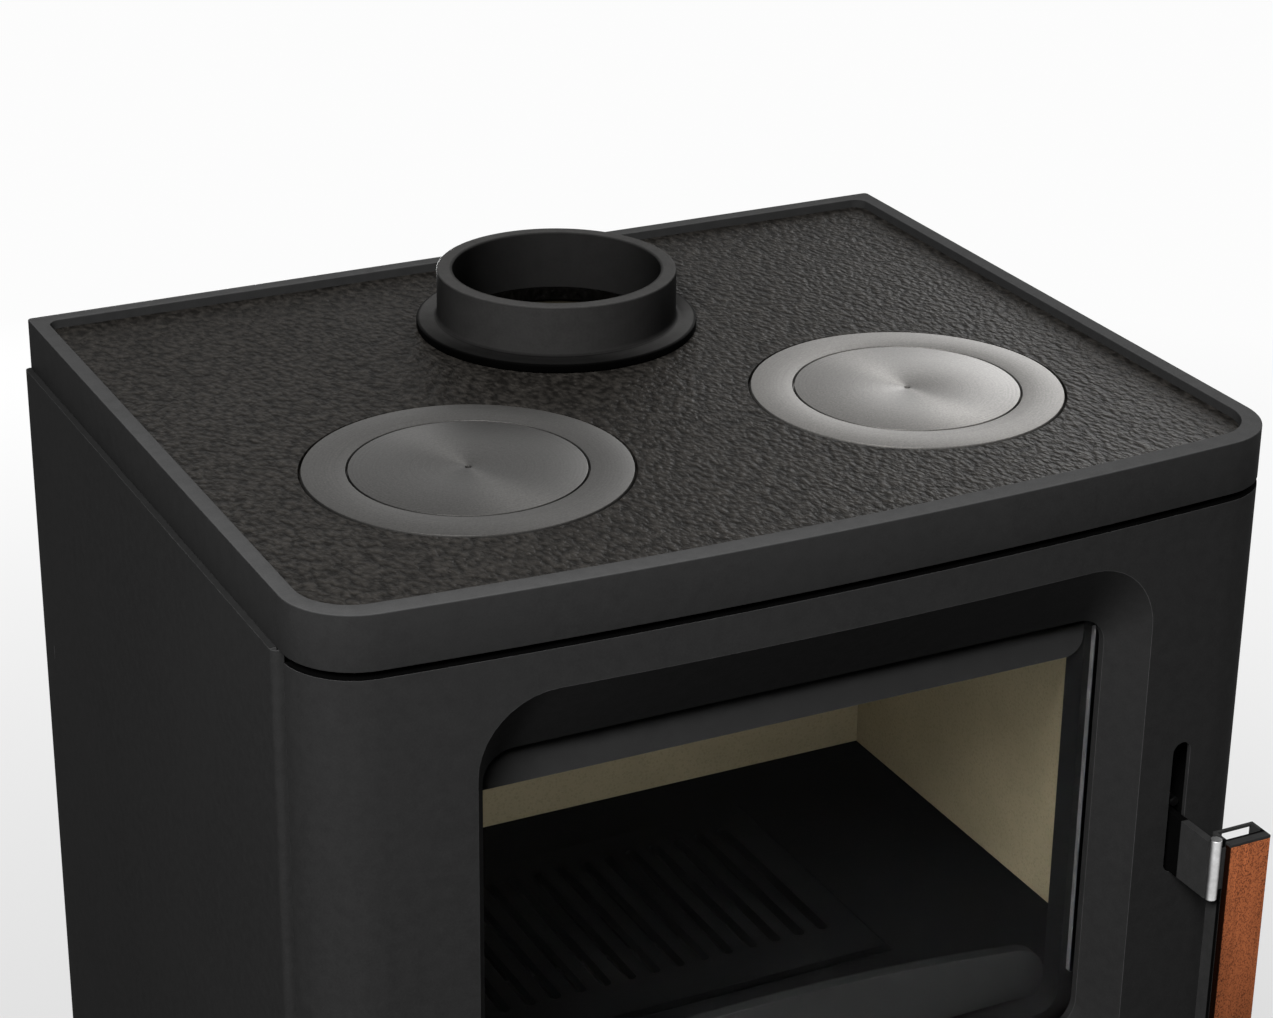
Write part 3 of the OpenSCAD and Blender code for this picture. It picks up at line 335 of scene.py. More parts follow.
@dataclass
class Masks:
    """The patterns that the shared groups hold.

    Args:
        sheet: the group's node tree.
        vector: the place that a pattern follows.
        scale: how many of its marks go to a unit.
    """

    sheet: Sheet
    vector: Socket
    scale: Socket

    def peel(self) -> Socket:
        """The fine uneven skin of sprayed stove paint.

        Returns:
            The mask.
        """
        sheet = self.sheet
        fine = sheet.noise(self.vector, self.scale, 4.0, 0.6)
        wide = sheet.noise(self.vector, sheet.times(self.scale, 0.16), 2.0)
        return sheet.maths("ADD", sheet.times(fine, 0.6), sheet.times(wide, 0.4))

    def smudge(self) -> Socket:
        """Soft patches where hands and cloths have been."""
        return self.sheet.spread(self.sheet.noise(self.vector, self.scale, 5.0, 0.62), 0.38, 0.68)

    def pebble(self) -> Socket:
        """The hammered relief of the hob casting: soft, irregular, slightly drawn-out bumps.

        Returns:
            The mask.
        """
        sheet = self.sheet
        warp = sheet.noise(self.vector, sheet.times(self.scale, 0.5), 2.0)
        warped = sheet.scaled(self.vector, sheet.maths("ADD", 1.0, sheet.times(warp, 0.012)))
        raised = sheet.maths("SUBTRACT", 1.0, sheet.cells(warped, self.scale))
        lumps = sheet.noise(warped, sheet.times(self.scale, 0.8), 3.0, 0.55)
        return sheet.maths("ADD", sheet.times(raised, 0.55), sheet.times(lumps, 0.75))

    def turning(self) -> Socket:
        """Concentric tool marks about the vector's origin.

        Returns:
            The mask.
        """
        sheet = self.sheet
        radius = sheet.times(sheet.length(self.vector), self.scale)
        line = sheet.run("ShaderNodeCombineXYZ", {"X": radius}, "Vector")
        return sheet.spread(sheet.noise(line, 1.0, 6.0, 0.75), 0.3, 0.7)

    def speckle(self) -> Socket:
        """Small flakes, as in a pressed mineral board.

        Returns:
            The mask.
        """
        sheet = self.sheet
        flakes = sheet.cells(self.vector, self.scale, "F1")
        dust = sheet.noise(self.vector, sheet.times(self.scale, 0.6), 3.0, 0.7)
        return sheet.times(sheet.spread(flakes, 0.1, 0.6, 1.0, 0.0), dust)


def shared_group(kind: Group) -> bpy.types.NodeTree:
    """Builds a shared node group once.

    Args:
        kind: which group.

    Returns:
        The group's node tree.
    """
    if kind.value in bpy.data.node_groups:
        return bpy.data.node_groups[kind.value]
    tree = bpy.data.node_groups.new(kind.value, "ShaderNodeTree")
    tree.interface.new_socket("Vector", in_out="INPUT", socket_type="NodeSocketVector")
    tree.interface.new_socket("Scale", in_out="INPUT", socket_type="NodeSocketFloat")
    tree.interface.new_socket("Mask", in_out="OUTPUT", socket_type="NodeSocketFloat")
    sheet = Sheet(tree)
    given = sheet.add("NodeGroupInput").outputs
    masks = Masks(sheet, given["Vector"], given["Scale"])
    makers: dict[Group, Callable[[], Socket]] = {
        Group.PEEL: masks.peel,
        Group.SMUDGE: masks.smudge,
        Group.PEBBLE: masks.pebble,
        Group.TURNING: masks.turning,
        Group.SPECKLE: masks.speckle,
    }
    sheet.join(makers[kind](), sheet.add("NodeGroupOutput").inputs["Mask"])
    return tree


class Coat(Sheet):
    """A material's node tree with its Principled shader.

    Args:
        tree: the material's node tree.
    """

    def __init__(self, tree: bpy.types.NodeTree) -> None:
        """Empties the tree and joins a plain shader to its output."""
        super().__init__(tree)
        tree.nodes.clear()
        self.shader = self.add("ShaderNodeBsdfPrincipled")
        self.output = self.add("ShaderNodeOutputMaterial")
        self.join(self.shader.outputs["BSDF"], self.output.inputs["Surface"])

    def put(self, name: str, source: Source) -> None:
        """Feeds one of the shader's inputs."""
        self.join(source, self.shader.inputs[name])

    def dim(self, level: Source) -> None:
        """Scales the colour that already feeds the shader."""
        colour = self.shader.inputs["Base Color"].links[0].from_socket
        self.put("Base Color", self.scaled(colour, level))

    def relief(self, height: Source, distance: float, strength: float) -> None:
        """Gives the shader a relief."""
        self.put("Normal", self.bump(height, distance, strength))


@dataclass(frozen=True)
class Finish:
    """A finish with a plain Principled shader, to be refined by its kinds.

    Args:
        name: the material's name.
        colour: base colour.
        roughness: mean roughness.
        specular: specular level.
    """

    name: str
    colour: Colour
    roughness: float = 0.5
    specular: float = 0.5

    def material(self) -> bpy.types.Material:
        """Makes the material once.

        Returns:
            The material.
        """
        if self.name in bpy.data.materials:
            return bpy.data.materials[self.name]
        made = bpy.data.materials.new(self.name)
        made.use_nodes = True
        made.diffuse_color = self.colour
        coat = Coat(made.node_tree)
        coat.put("Base Color", self.colour)
        coat.put("Roughness", self.roughness)
        coat.put("Specular IOR Level", self.specular)
        self.dress(coat)
        return made

    def dress(self, coat: Coat) -> None:
        """Adds the finish's own detail to the plain shader."""


@dataclass(frozen=True)
class Paint(Finish):
    """Matt stove paint: a fine peel, faint smudges and a painted highlight on rounded edges; level
    paints upward faces lighter (painted light) above one, darker (painted shade) below.

    Args:
        grain: scale of the peel, per metre.
        depth: depth of the peel in metres.
        edge_highlight_gain: how much lighter the painted highlight makes the rounded outer edges.
        level: how much the upward faces' colour is scaled: above one it is painted light, below one
            painted shade.
        patches: scale of the smudges.
    """

    grain: float = 900.0
    depth: float = 0.00004
    edge_highlight_gain: float = 1.0
    level: float = 1.0
    patches: float = 7.0

    def dress(self, coat: Coat) -> None:
        """Varies colour and roughness, adds the peel, and paints the edge highlight and, by level,
        light or shade on the upward faces.

        Args:
            coat: the material's node tree.
        """
        vector = coat.place()
        peel = coat.mask(Group.PEEL, vector, self.grain)
        smudge = coat.mask(Group.SMUDGE, vector, self.patches)
        tone = coat.spread(peel, 0.3, 0.7)
        tone = coat.blend(tone, shade(self.colour, 0.86), shade(self.colour, 1.22))
        tone = coat.blend(coat.times(smudge, 0.35), tone, shade(self.colour, 1.12))
        # Painted highlight: rounded outer edges are made lighter.
        if self.edge_highlight_gain > 1.0:
            rubbed = coat.add("ShaderNodeAttribute", attribute_name=EDGE_HIGHLIGHT_ATTRIBUTE).outputs["Fac"]
            share = coat.times(rubbed, coat.spread(peel, 0.2, 0.8, 0.7, 1.0))
            tone = coat.blend(share, tone, shade(self.colour, self.edge_highlight_gain))
        # Upward faces scaled by level: painted light on lit tops above one, painted shade on shaded
        # tops below one.
        if self.level != 1.0:
            tone = coat.scaled(tone, coat.spread(coat.facing(UP), 0.6, 0.95, 1.0, self.level))
        coat.put("Base Color", tone)
        coat.put("Roughness", coat.along(smudge, -0.07, self.roughness + 0.03))
        coat.relief(peel, self.depth, 0.5)


@dataclass(frozen=True)
class ShadedPaint(Paint):
    """Paint with a painted shadow: nearly black between two levels of Y.

    Args:
        start: Y of the painted shadow band's front.
        end: Y of the painted shadow band's back.
        fade: half the width over which the band fades.
        dark: level inside the band.
    """

    start: float = 0.0
    end: float = 0.0
    fade: float = 0.0004
    dark: float = 0.08

    def dress(self, coat: Coat) -> None:
        """Adds the paint's detail, then the painted shadow band.

        Args:
            coat: the material's node tree.
        """
        super().dress(coat)
        middle = (self.start + self.end) / 2
        half = (self.end - self.start) / 2
        away = coat.maths("SUBTRACT", coat.axis(coat.place(), "Y"), middle)
        away = coat.maths("ABSOLUTE", away)
        coat.dim(coat.spread(away, half - self.fade, half + self.fade, self.dark, 1.0))


@dataclass(frozen=True)
class LitAndShadedIron(Paint):
    """The flue collar's paint, with a painted highlight on the tube's front, painted light on
    upward faces and painted shade in the bore, on the flange's rim and before the tube.

    Args:
        axis: the tube's middle.
        bore: radius inside which the collar is darkened as painted shade.
        flange: the flange's radius, whose rim is darkened as painted shade.
        shelf: level of the flange's top.
        painted_side: the side toward which the tube has a painted highlight and the flange painted
            shade.
    """

    axis: Point = (0.0, 0.1158, 0.0)
    bore: float = 0.0672
    flange: float = 0.088
    shelf: float = 0.85
    painted_side: Point = (-0.5965, -0.798, 0.0)

    def dress(self, coat: Coat) -> None:
        """Adds the paint's detail, a painted highlight on the tube's front and painted shade in the
        bore, on the flange's rim and before the tube.

        Args:
            coat: the material's node tree.
        """
        super().dress(coat)
        # Painted highlight on the tube's upright faces toward the painted side, painted shade on
        # those away from it.
        upright = coat.spread(coat.facing(UP), 0.0, 0.6, 1.0, 0.0)
        front = coat.spread(coat.facing(self.painted_side), 0.3, 1.0, 0.35, 1.3)
        level = coat.along(coat.maths("SUBTRACT", front, 1.0), upright, 1.0)
        # Painted shade in the bore and along the flange's rim.
        away = coat.away(self.axis)
        level = coat.times(level, coat.spread(away, self.bore - 0.001, self.bore, 0.55, 1.0))
        rim = coat.spread(away, self.flange - 0.0022, self.flange - 0.0012, 1.0, 0.25)
        level = coat.times(coat.times(level, rim), self.flange_shadow(coat))
        coat.dim(level)

    def flange_shadow(self, coat: Coat) -> Socket:
        """Painted shade on the flange before the tube.

        Args:
            coat: the material's node tree.

        Returns:
            The level.
        """
        place = coat.place(shift=against(self.axis))
        ahead = coat.vectors("DOT_PRODUCT", place, self.painted_side, "Value")
        low = coat.spread(coat.axis(place, "Z"), self.shelf + 0.001, self.shelf + 0.0025, 1.0, 0.0)
        return coat.along(low, coat.spread(ahead, 0.0, 0.07, 0.0, -0.85), 1.0)


@dataclass(frozen=True)
class HammeredIron(Finish):
    """The hob casting: a pebbled relief under a satin, slightly brown blacking.

    Args:
        grain: bumps per metre.
        depth: relief in metres.
        stretch: how much closer the bumps lie along each axis.
        turn: angle of their rows.
        axis: the flue's axis.
        bore: radius about it inside which the casting is darkened as painted shade.
        skin: scale of the fine relief on the bumps.
        patches: scale of the smudges.
    """

    grain: float = 205.0
    depth: float = 0.0021
    stretch: Point = (1.5, 0.95, 1.0)
    turn: float = 0.05
    axis: Point = (0.0, 0.1158, 0.0)
    bore: float = 0.07
    skin: float = 1400.0
    patches: float = 5.0

    def dress(self, coat: Coat) -> None:
        """Adds the relief with painted shade in its hollows and painted light on its bumps, painted
        shade round the flue and a smudged sheen.

        Args:
            coat: the material's node tree.
        """
        vector = coat.place(scale=self.stretch, turn=(0.0, 0.0, self.turn))
        relief = coat.mask(Group.PEBBLE, vector, self.grain)
        fine = coat.mask(Group.PEEL, coat.place(), self.skin)
        smudge = coat.mask(Group.SMUDGE, coat.place(), self.patches)
        # Painted shade in the relief's hollows and painted light on its bumps.
        tone = coat.spread(relief, 0.55, 0.95)
        tone = coat.blend(tone, shade(self.colour, 0.4), shade(self.colour, 1.7))
        # Painted shade inside the flue's bore.
        unshaded = coat.spread(coat.away(self.axis), self.bore, self.bore + 0.003, 0.08, 1.0)
        coat.put("Base Color", coat.scaled(tone, unshaded))
        coat.put("Roughness", coat.along(smudge, -0.08, self.roughness + 0.04))
        coat.put("Normal", coat.bump(fine, 0.00005, 0.5, coat.bump(relief, self.depth, 0.9)))


@dataclass(frozen=True)
class TurnedSteel(Finish):
    """A faced hotplate: fine concentric marks, an anisotropic sheen and two wedges of painted
    highlight in the colour.

    Args:
        centre: the plate's centre.
        anisotropy: strength of the drawn-out sheen.
        streak: how much brighter the two wedges of painted highlight are.
        heading: angle by which the wedges are turned, doubled.
        marks: scale of the tool marks.
        patches: scale of the smudges.
        skin: scale of the fine grain.
        sand: scale of the sandy grain.
    """

    centre: Point = (0.0, 0.0, 0.0)
    anisotropy: float = 0.1
    streak: float = 0.5
    heading: float = 2.95
    marks: float = 900.0
    patches: float = 16.0
    skin: float = 2600.0
    sand: float = 750.0

    def dress(self, coat: Coat) -> None:
        """Adds the tool marks, stains, the anisotropic sheen and the painted highlight wedges.

        Args:
            coat: the material's node tree.
        """
        vector = coat.place(shift=against(self.centre))
        marks = coat.mask(Group.TURNING, coat.flattened(vector), self.marks)
        smudge = coat.mask(Group.SMUDGE, vector, self.patches)
        grain = coat.mask(Group.PEEL, vector, self.skin)
        dull = shade(self.colour, 0.8)
        tone = coat.blend(marks, dull, shade(self.colour, 1.12))
        tone = coat.blend(coat.times(smudge, 0.25), tone, dull)
        sandy = coat.spread(coat.noise(vector, self.sand, 3.0, 0.8), 0.3, 0.7, 0.74, 1.26)
        # Painted highlight: two wedges of conical sheen lighten the colour.
        coat.put("Base Color", coat.scaled(tone, coat.times(sandy, self.wedge(coat, vector))))
        coat.put("Roughness", coat.along(marks, -0.08, self.roughness + 0.04))
        coat.put("Metallic", 1.0)
        coat.put("Anisotropic", self.anisotropy)
        tangent = coat.add("ShaderNodeTangent", direction_type="RADIAL", axis="Z")
        coat.put("Tangent", tangent.outputs["Tangent"])
        coat.relief(coat.maths("ADD", marks, coat.times(grain, 0.5)), 0.00002, 0.6)

    def wedge(self, coat: Coat, vector: Socket) -> Socket:
        """The two opposite wedges of painted highlight that stand for a faced disc's sheen, as a
        level near one.

        Args:
            coat: the material's node tree.
            vector: place from the plate's middle.

        Returns:
            The level.
        """
        angle = coat.maths("ARCTAN2", coat.axis(vector, "Y"), coat.axis(vector, "X"))
        swing = coat.maths("COSINE", coat.along(angle, 2.0, self.heading))
        narrow = coat.maths("POWER", coat.along(swing, 0.5, 0.5), 8.0)
        return coat.along(narrow, self.streak, 1.0 - self.streak * 0.26)


@dataclass(frozen=True)
class BareSteel(Finish):
    """Rolled or plated steel with drawn lines along one axis.

    Args:
        stretch: scale of the lines along each axis.
        highlight_toward: the direction toward which a painted highlight brightens a barrel, or
            none.
        patches: scale of the stains.
    """

    stretch: Point = (900.0, 900.0, 30.0)
    highlight_toward: Point | None = None
    patches: float = 30.0

    def dress(self, coat: Coat) -> None:
        """Adds the drawn lines, light stains and any painted highlight.

        Args:
            coat: the material's node tree.
        """
        lines = coat.noise(coat.place(scale=self.stretch), 1.0, 3.0, 0.6)
        smudge = coat.mask(Group.SMUDGE, coat.place(), self.patches)
        tone = coat.blend(coat.spread(lines, 0.3, 0.7), shade(self.colour, 0.75), self.colour)
        # Painted highlight: brightest facing the given direction, dark at the flanks.
        if self.highlight_toward:
            around = coat.spread(coat.facing(self.highlight_toward), 0.2, 0.96, 0.12, 1.0)
            tone = coat.scaled(tone, around)
        coat.put("Base Color", tone)
        coat.put("Roughness", coat.along(smudge, 0.12, self.roughness - 0.04))
        coat.put("Metallic", 1.0)
        coat.relief(lines, 0.00002, 0.5)


@dataclass(frozen=True)
class MineralBoard(Finish):
    """Pressed mineral lining board: cream, with flakes and a mottle, painted black above a level as
    painted shade.

    Args:
        shadow_from: level from which the board is black as painted shade.
        shadow_fade: height over which it turns black.
        flakes: scale of the flakes.
        patches: scale of the mottle.
        pits: scale of the pitted skin.
    """

    shadow_from: float = 0.738
    shadow_fade: float = 0.012
    flakes: float = 420.0
    patches: float = 14.0
    pits: float = 700.0

    def dress(self, coat: Coat) -> None:
        """Adds flakes, mottle, a dry, pitted skin and the painted shade above its shadow level.

        Args:
            coat: the material's node tree.
        """
        vector = coat.place()
        flakes = coat.mask(Group.SPECKLE, vector, self.flakes)
        mottle = coat.mask(Group.SMUDGE, vector, self.patches)
        tone = coat.blend(mottle, self.colour, shade(self.colour, 1.15))
        tone = coat.blend(coat.spread(flakes, 0.1, 0.5, 0.0, 0.6), tone, shade(self.colour, 0.8))
        # Painted shade: the board turns black above its shadow level.
        black = self.shadow_from + self.shadow_fade
        unshaded = coat.spread(coat.axis(vector, "Z"), self.shadow_from, black, 1.0, 0.06)
        coat.put("Base Color", coat.scaled(tone, unshaded))
        coat.put("Roughness", coat.along(mottle, 0.08, 0.82))
        coat.relief(coat.mask(Group.PEEL, vector, self.pits), 0.0003, 0.6)


@dataclass(frozen=True)
class Glazing(Finish):
    """Ceramic glass, clear to the eye but letting little lamp light through, as painted shade in
    the firebox, but for a strip in front of the upper bar.

    Args:
        bar_foot: the upper bar's lower edge, above which the glass lets more lamp light through.
        bar_end: X of the upper bar's right end, where that strip ends.
        index: how strongly the glass bends light.
        lamp_through: how much lamp light the rest of the glass lets through, as painted shade
            behind it.
        unshaded: how much more lamp light the strip lets through, to light the upper bar.
        patches: scale of the wiped marks.
    """

    bar_foot: float = 0.716
    bar_end: float = 0.1905
    index: float = 1.05
    lamp_through: float = 0.022
    unshaded: float = 0.88
    patches: float = 9.0

    def dress(self, coat: Coat) -> None:
        """Makes the shader glass, with faint wiped marks, letting shadow rays through at a dark
        tint, as painted shade.

        Args:
            coat: the material's node tree.
        """
        smudge = coat.mask(Group.SMUDGE, coat.place(), self.patches)
        coat.put("Transmission Weight", 1.0)
        coat.put("IOR", self.index)
        coat.put("Roughness", coat.spread(smudge, 0.0, 1.0, 0.0, 0.03))
        # Painted shade: lamp light passes the glass at a dark tint, but for the strip before the
        # upper bar, which lets the lamps light that bar.
        place = coat.place()
        strip = coat.axis(place, "Z")
        strip = coat.spread(strip, self.bar_foot - 0.004, self.bar_foot, 0.0, self.unshaded)
        inside = coat.spread(coat.axis(place, "X"), self.bar_end, self.bar_end + 0.002, 1.0, 0.1)
        level = coat.along(strip, inside, self.lamp_through)
        tint = coat.run("ShaderNodeCombineXYZ", dict.fromkeys("XYZ", level), "Vector")
        clear = coat.run("ShaderNodeBsdfTransparent", {"Color": tint}, "BSDF")
        shadow = coat.add("ShaderNodeLightPath").outputs["Is Shadow Ray"]
        inputs = {0: shadow, 1: coat.shader.outputs["BSDF"], 2: clear}
        mixed = coat.run("ShaderNodeMixShader", inputs, "Shader")
        coat.join(mixed, coat.output.inputs["Surface"])


@dataclass(frozen=True)
class OiledWood(Finish):
    """The handle's inlay: warm orange-brown wood with short flecks along the grain.

    Args:
        fleck: colour of the flecks.
        flank: X of the inlay's left side, left of which it is darkened nearly to black.
        lighter_from: level from which the wood grows lighter upwards.
        lightest_at: level above which the wood is lightest.
        grain: scale of the grain along each axis.
        pores: scale of the short flecks along each axis.
        bands: scale of the wide bands along each axis.
    """

    fleck: Colour = (0.06, 0.018, 0.01, 1.0)
    flank: float = 0.2526
    lighter_from: float = 0.46
    lightest_at: float = 0.6
    grain: Point = (260.0, 260.0, 16.0)
    pores: Point = (1200.0, 1200.0, 850.0)
    bands: Point = (60.0, 60.0, 7.0)

    def dress(self, coat: Coat) -> None:
        """Adds grain, pores and an oiled sheen.

        Args:
            coat: the material's node tree.
        """
        grain = coat.noise(coat.place(scale=self.grain), 1.0, 6.0, 0.62)
        flecks = coat.noise(coat.place(scale=self.pores), 1.0, 2.0, 0.6)
        bands = coat.noise(coat.place(scale=self.bands), 1.0, 2.0)
        tone = coat.blend(coat.spread(grain, 0.3, 0.7), shade(self.colour, 0.57), self.colour)
        tone = coat.blend(coat.spread(flecks, 0.49, 0.6, 0.0, 0.85), tone, self.fleck)
        tone = coat.blend(coat.spread(bands, 0.4, 0.65, 0.0, 0.35), tone, self.colour)
        place = coat.place()
        flank = coat.spread(coat.axis(place, "X"), self.flank, self.flank + 0.0006, 0.02, 1.0)
        height_tone = coat.spread(coat.axis(place, "Z"), self.lighter_from, self.lightest_at, 0.8, 1.75)
        coat.put("Base Color", coat.scaled(tone, coat.times(flank, height_tone)))
        coat.put("Roughness", coat.along(flecks, 0.25, 0.36))
        coat.relief(flecks, 0.00012, 0.6)


@dataclass(frozen=True)
class Braid(Finish):
    """Glass-fibre rope or tape.

    Args:
        strands: scale of the strands.
        twist: how wavy they are.
    """

    strands: float = 160.0
    twist: float = 3.0

    def dress(self, coat: Coat) -> None:
        """Adds the crossing strands.

        Args:
            coat: the material's node tree.
        """
        inputs = {"Vector": coat.place(), "Scale": self.strands, "Distortion": self.twist}
        strands = coat.run(
            "ShaderNodeTexWave", inputs, "Fac", wave_type="BANDS", bands_direction="DIAGONAL"
        )
        coat.put("Base Color", coat.blend(strands, shade(self.colour, 0.5), self.colour))
        coat.put("Roughness", coat.along(strands, 0.06, 0.88))
        coat.relief(strands, 0.0006, 0.8)


# CASING, RIM_PAINT and DOOR_PAINT carry a painted highlight along rounded outer edges. RIM_PAINT's
# level paints light onto the hob frame's top; DOOR_PAINT's level paints shade onto the upward faces
# of the door and the drawer fronts.
CASING = Paint("casing paint", grey(0.0235), 0.45, 0.0004, edge_highlight_gain=2.1)
RIM_PAINT = Paint("hob frame paint", grey(0.0235), 0.45, 0.0004, edge_highlight_gain=1.3, level=2.9)
DOOR_PAINT = Paint("door paint", grey(0.0235), 0.45, 0.0004, edge_highlight_gain=3.6, level=0.1)
# LEVER_PAINT and HANDLE_PAINT each carry a painted shadow band: on the lever plate beside the
# door's face, and along the handle channel.
LEVER_PAINT = ShadedPaint("lever paint", grey(0.033), 0.5, 0.0008, start=-0.2475, end=-0.2)
HANDLE_PAINT = ShadedPaint("handle paint", grey(0.033), 0.5, 0.0008, start=-0.2764, end=-0.2734)
INNER = Paint("inner casing paint", grey(0.009), 0.7, 0.004)
FIREBOX_IRON = Paint("firebox iron", grey(0.006), 0.6, 0.004, 520.0, 0.00012)
BAR_PAINT = Paint("bar paint", grey(0.039), 0.5, 0.1)
SIDE_BAR_PAINT = Paint("side bar paint", grey(0.13), 0.35, 0.05)
# GRATE_IRON's level paints light onto the upward faces of the grate tile and the floor casting.
GRATE_IRON = Paint("grate iron", grey(0.0011), 0.6, 0.003, 520.0, 0.00012, level=5.5)
GUARD_IRON = Paint("guard iron", grey(0.019), 0.6, 0.015, 520.0, 0.0001)
HOB_IRON = HammeredIron("hob casting iron", (0.0218, 0.0199, 0.0178, 1.0), 0.4, 0.016)
# The baffle board's finish is nearly black as painted shade; both board finishes turn black above
# their shadow level as painted shade.
SHADED_BOARD = MineralBoard("shaded board", (0.05, 0.045, 0.036, 1.0), 0.9, 0.02)
BOARD = MineralBoard("lining board", (0.46, 0.4, 0.262, 1.0), 0.85, 0.05)
STEEL = BareSteel("plain steel", grey(0.42), 0.38)
# The barrel's colour carries a painted highlight, brightest toward the front-left and dark at its
# flanks.
CHROME = BareSteel(
    "barrel chrome", grey(0.7), 0.5, 0.5, (200.0, 200.0, 200.0), (-0.4465, -0.895, 0.0)
)
# The ash pan is kept dark as painted shade, where it shows through the grate's slots.
ZINC = BareSteel("zinc sheet", (0.055, 0.056, 0.057, 1.0), 0.7, stretch=(40.0, 300.0, 300.0))
GLASS = Glazing("window glass clear", (1.0, 1.0, 1.0, 1.0), 0.0)
WOOD = OiledWood("handle wood", (0.375, 0.114, 0.044, 1.0), 0.45, 0.03)
ROPE = Braid("seal rope", (0.3, 0.29, 0.27, 1.0), 0.9)


@dataclass(frozen=True)
class BowPlan:
    """The stove's outline seen from above.

    Args:
        half: half the width.
        front: the bow's foremost point.
        back: the back.
        bow: radius of the bowed front.
        corner: radius of the front corners.
        corner_steps: facets round a corner.
        bow_steps: facets along the bow.
        rear_steps: facets round a rear corner.
        side_steps: stretches along a side.
    """

    half: float = 0.3025
    front: float = -0.248
    back: float = 0.248
    bow: float = 3.194
    corner: float = 0.042
    corner_steps: int = 14
    bow_steps: int = 44
    rear_steps: int = 5
    side_steps: int = 4

    @property
    def centre(self) -> float:
        """The bow's centre on Y."""
        return self.front + self.bow

    def face(self, x: float) -> float:
        """Y of the bowed face at x."""
        return self.centre - math.sqrt(self.bow * self.bow - x * x)

    def bend(self, side: float, front: float) -> tuple[Vector, float, float]:
        """A corner's centre, its radius and half the bow's angle, for a given inset.

        Args:
            side: inset from the sides.
            front: inset from the bowed front.

        Returns:
            The right corner's centre, the corner's radius and the bow's half angle.
        """
        radius = self.corner - side
        reach = self.bow - front - radius
        x = self.half - self.corner
        y = self.centre - math.sqrt(reach * reach - x * x)
        return Vector((x, y, 0)), radius, math.asin(x / reach)


PLAN = BowPlan()


def verts_in(geom: Sequence[object]) -> list[Vert]:
    """The vertices among what an operator gives back."""
    return [g for g in geom if isinstance(g, Vert)]


def edges_between(bm: Mesh, verts: Sequence[Vert]) -> list[Edge]:
    """The edges that run between given vertices."""
    own = set(verts)
    return [e for e in bm.edges if e.verts[0] in own and e.verts[1] in own]


def spun(
    bm: Mesh, geom: list[Vert | Edge], centre: Sequence[float], angle: float, steps: int,
    axis: Vector = UP, merge: bool = False
) -> list[Vert | Edge]:
    """Spins vertices and edges about an axis.

    Args:
        bm: the mesh.
        geom: what is spun.
        centre: a point on the axis.
        angle: how far it turns.
        steps: facets on the way.
        axis: the axis.
        merge: whether a full turn closes on itself.

    Returns:
        What stands at the turn's end.
    """
    out = bmesh.ops.spin(
        bm, geom=geom, cent=Vector(centre), axis=axis, dvec=(0, 0, 0), angle=angle, steps=steps,
        use_merge=merge, use_normal_flip=False, use_duplicate=False
    )
    return out["geom_last"]


def merge_doubles(bm: Mesh, distance: float = MERGED) -> None:
    """Makes one of the vertices that lie on each other."""
    bmesh.ops.remove_doubles(bm, verts=bm.verts, dist=distance)


def fill(bm: Mesh, edges: list[Edge]) -> None:
    """Fills flat loops with triangles, inner loops as holes."""
    bmesh.ops.triangle_fill(bm, edges=edges, use_beauty=True, use_dissolve=False)


def part_at(
    bm: Mesh, place: Sequence[float], normal: Sequence[float], keep: bool = True
) -> list[Vert | Edge]:
    """Cuts every face along a plane.

    Args:
        bm: the mesh.
        place: a point on the plane.
        normal: the plane's normal.
        keep: whether what lies behind the plane stays.

    Returns:
        The vertices and edges on the cut.
    """
    out = bmesh.ops.bisect_plane(
        bm, geom=bm.verts[:] + bm.edges[:] + bm.faces[:], plane_co=place, plane_no=normal,
        clear_inner=not keep
    )
    return out["geom_cut"]


class Chain:
    """A line of edges grown from one vertex with operators.

    Args:
        bm: the mesh to grow it in.
        start: where it begins.
    """

    def __init__(self, bm: Mesh, start: Sequence[float]) -> None:
        """Makes the first vertex."""
        self.bm = bm
        self.first = bmesh.ops.create_vert(bm, co=Vector(start))["vert"][0]
        self.tip = self.first
        self.verts = [self.first]

    def to(self, *points: Sequence[float], cuts: int = 1) -> "Chain":
        """Runs straight to each point.

        Args:
            points: the points.
            cuts: into how many equal stretches each run is cut.

        Returns:
            The chain.
        """
        for point in points:
            begin = self.tip.co.copy()
            for i in range(1, cuts + 1):
                out = bmesh.ops.extrude_vert_indiv(self.bm, verts=[self.tip])
                self.tip = out["verts"][0]
                self.tip.co = begin.lerp(Vector(point), i / cuts)
                self.verts.append(self.tip)
        return self

    def turn(
        self, centre: Sequence[float], angle: float, steps: int, axis: Vector = UP
    ) -> "Chain":
        """Runs round a centre.

        Args:
            centre: the centre.
            angle: how far.
            steps: facets on the way.
            axis: the axis through the centre.

        Returns:
            The chain.
        """
        known = set(self.bm.verts)
        self.tip = verts_in(spun(self.bm, [self.tip], centre, angle, steps, axis))[0]
        self.verts += [v for v in self.bm.verts if v not in known]
        return self

    def close(self) -> "Chain":
        """Joins the end to the beginning."""
        self.bm.edges.new((self.tip, self.first))
        return self

    @property
    def edges(self) -> list[Edge]:
        """All the chain's edges."""
        return edges_between(self.bm, self.verts)


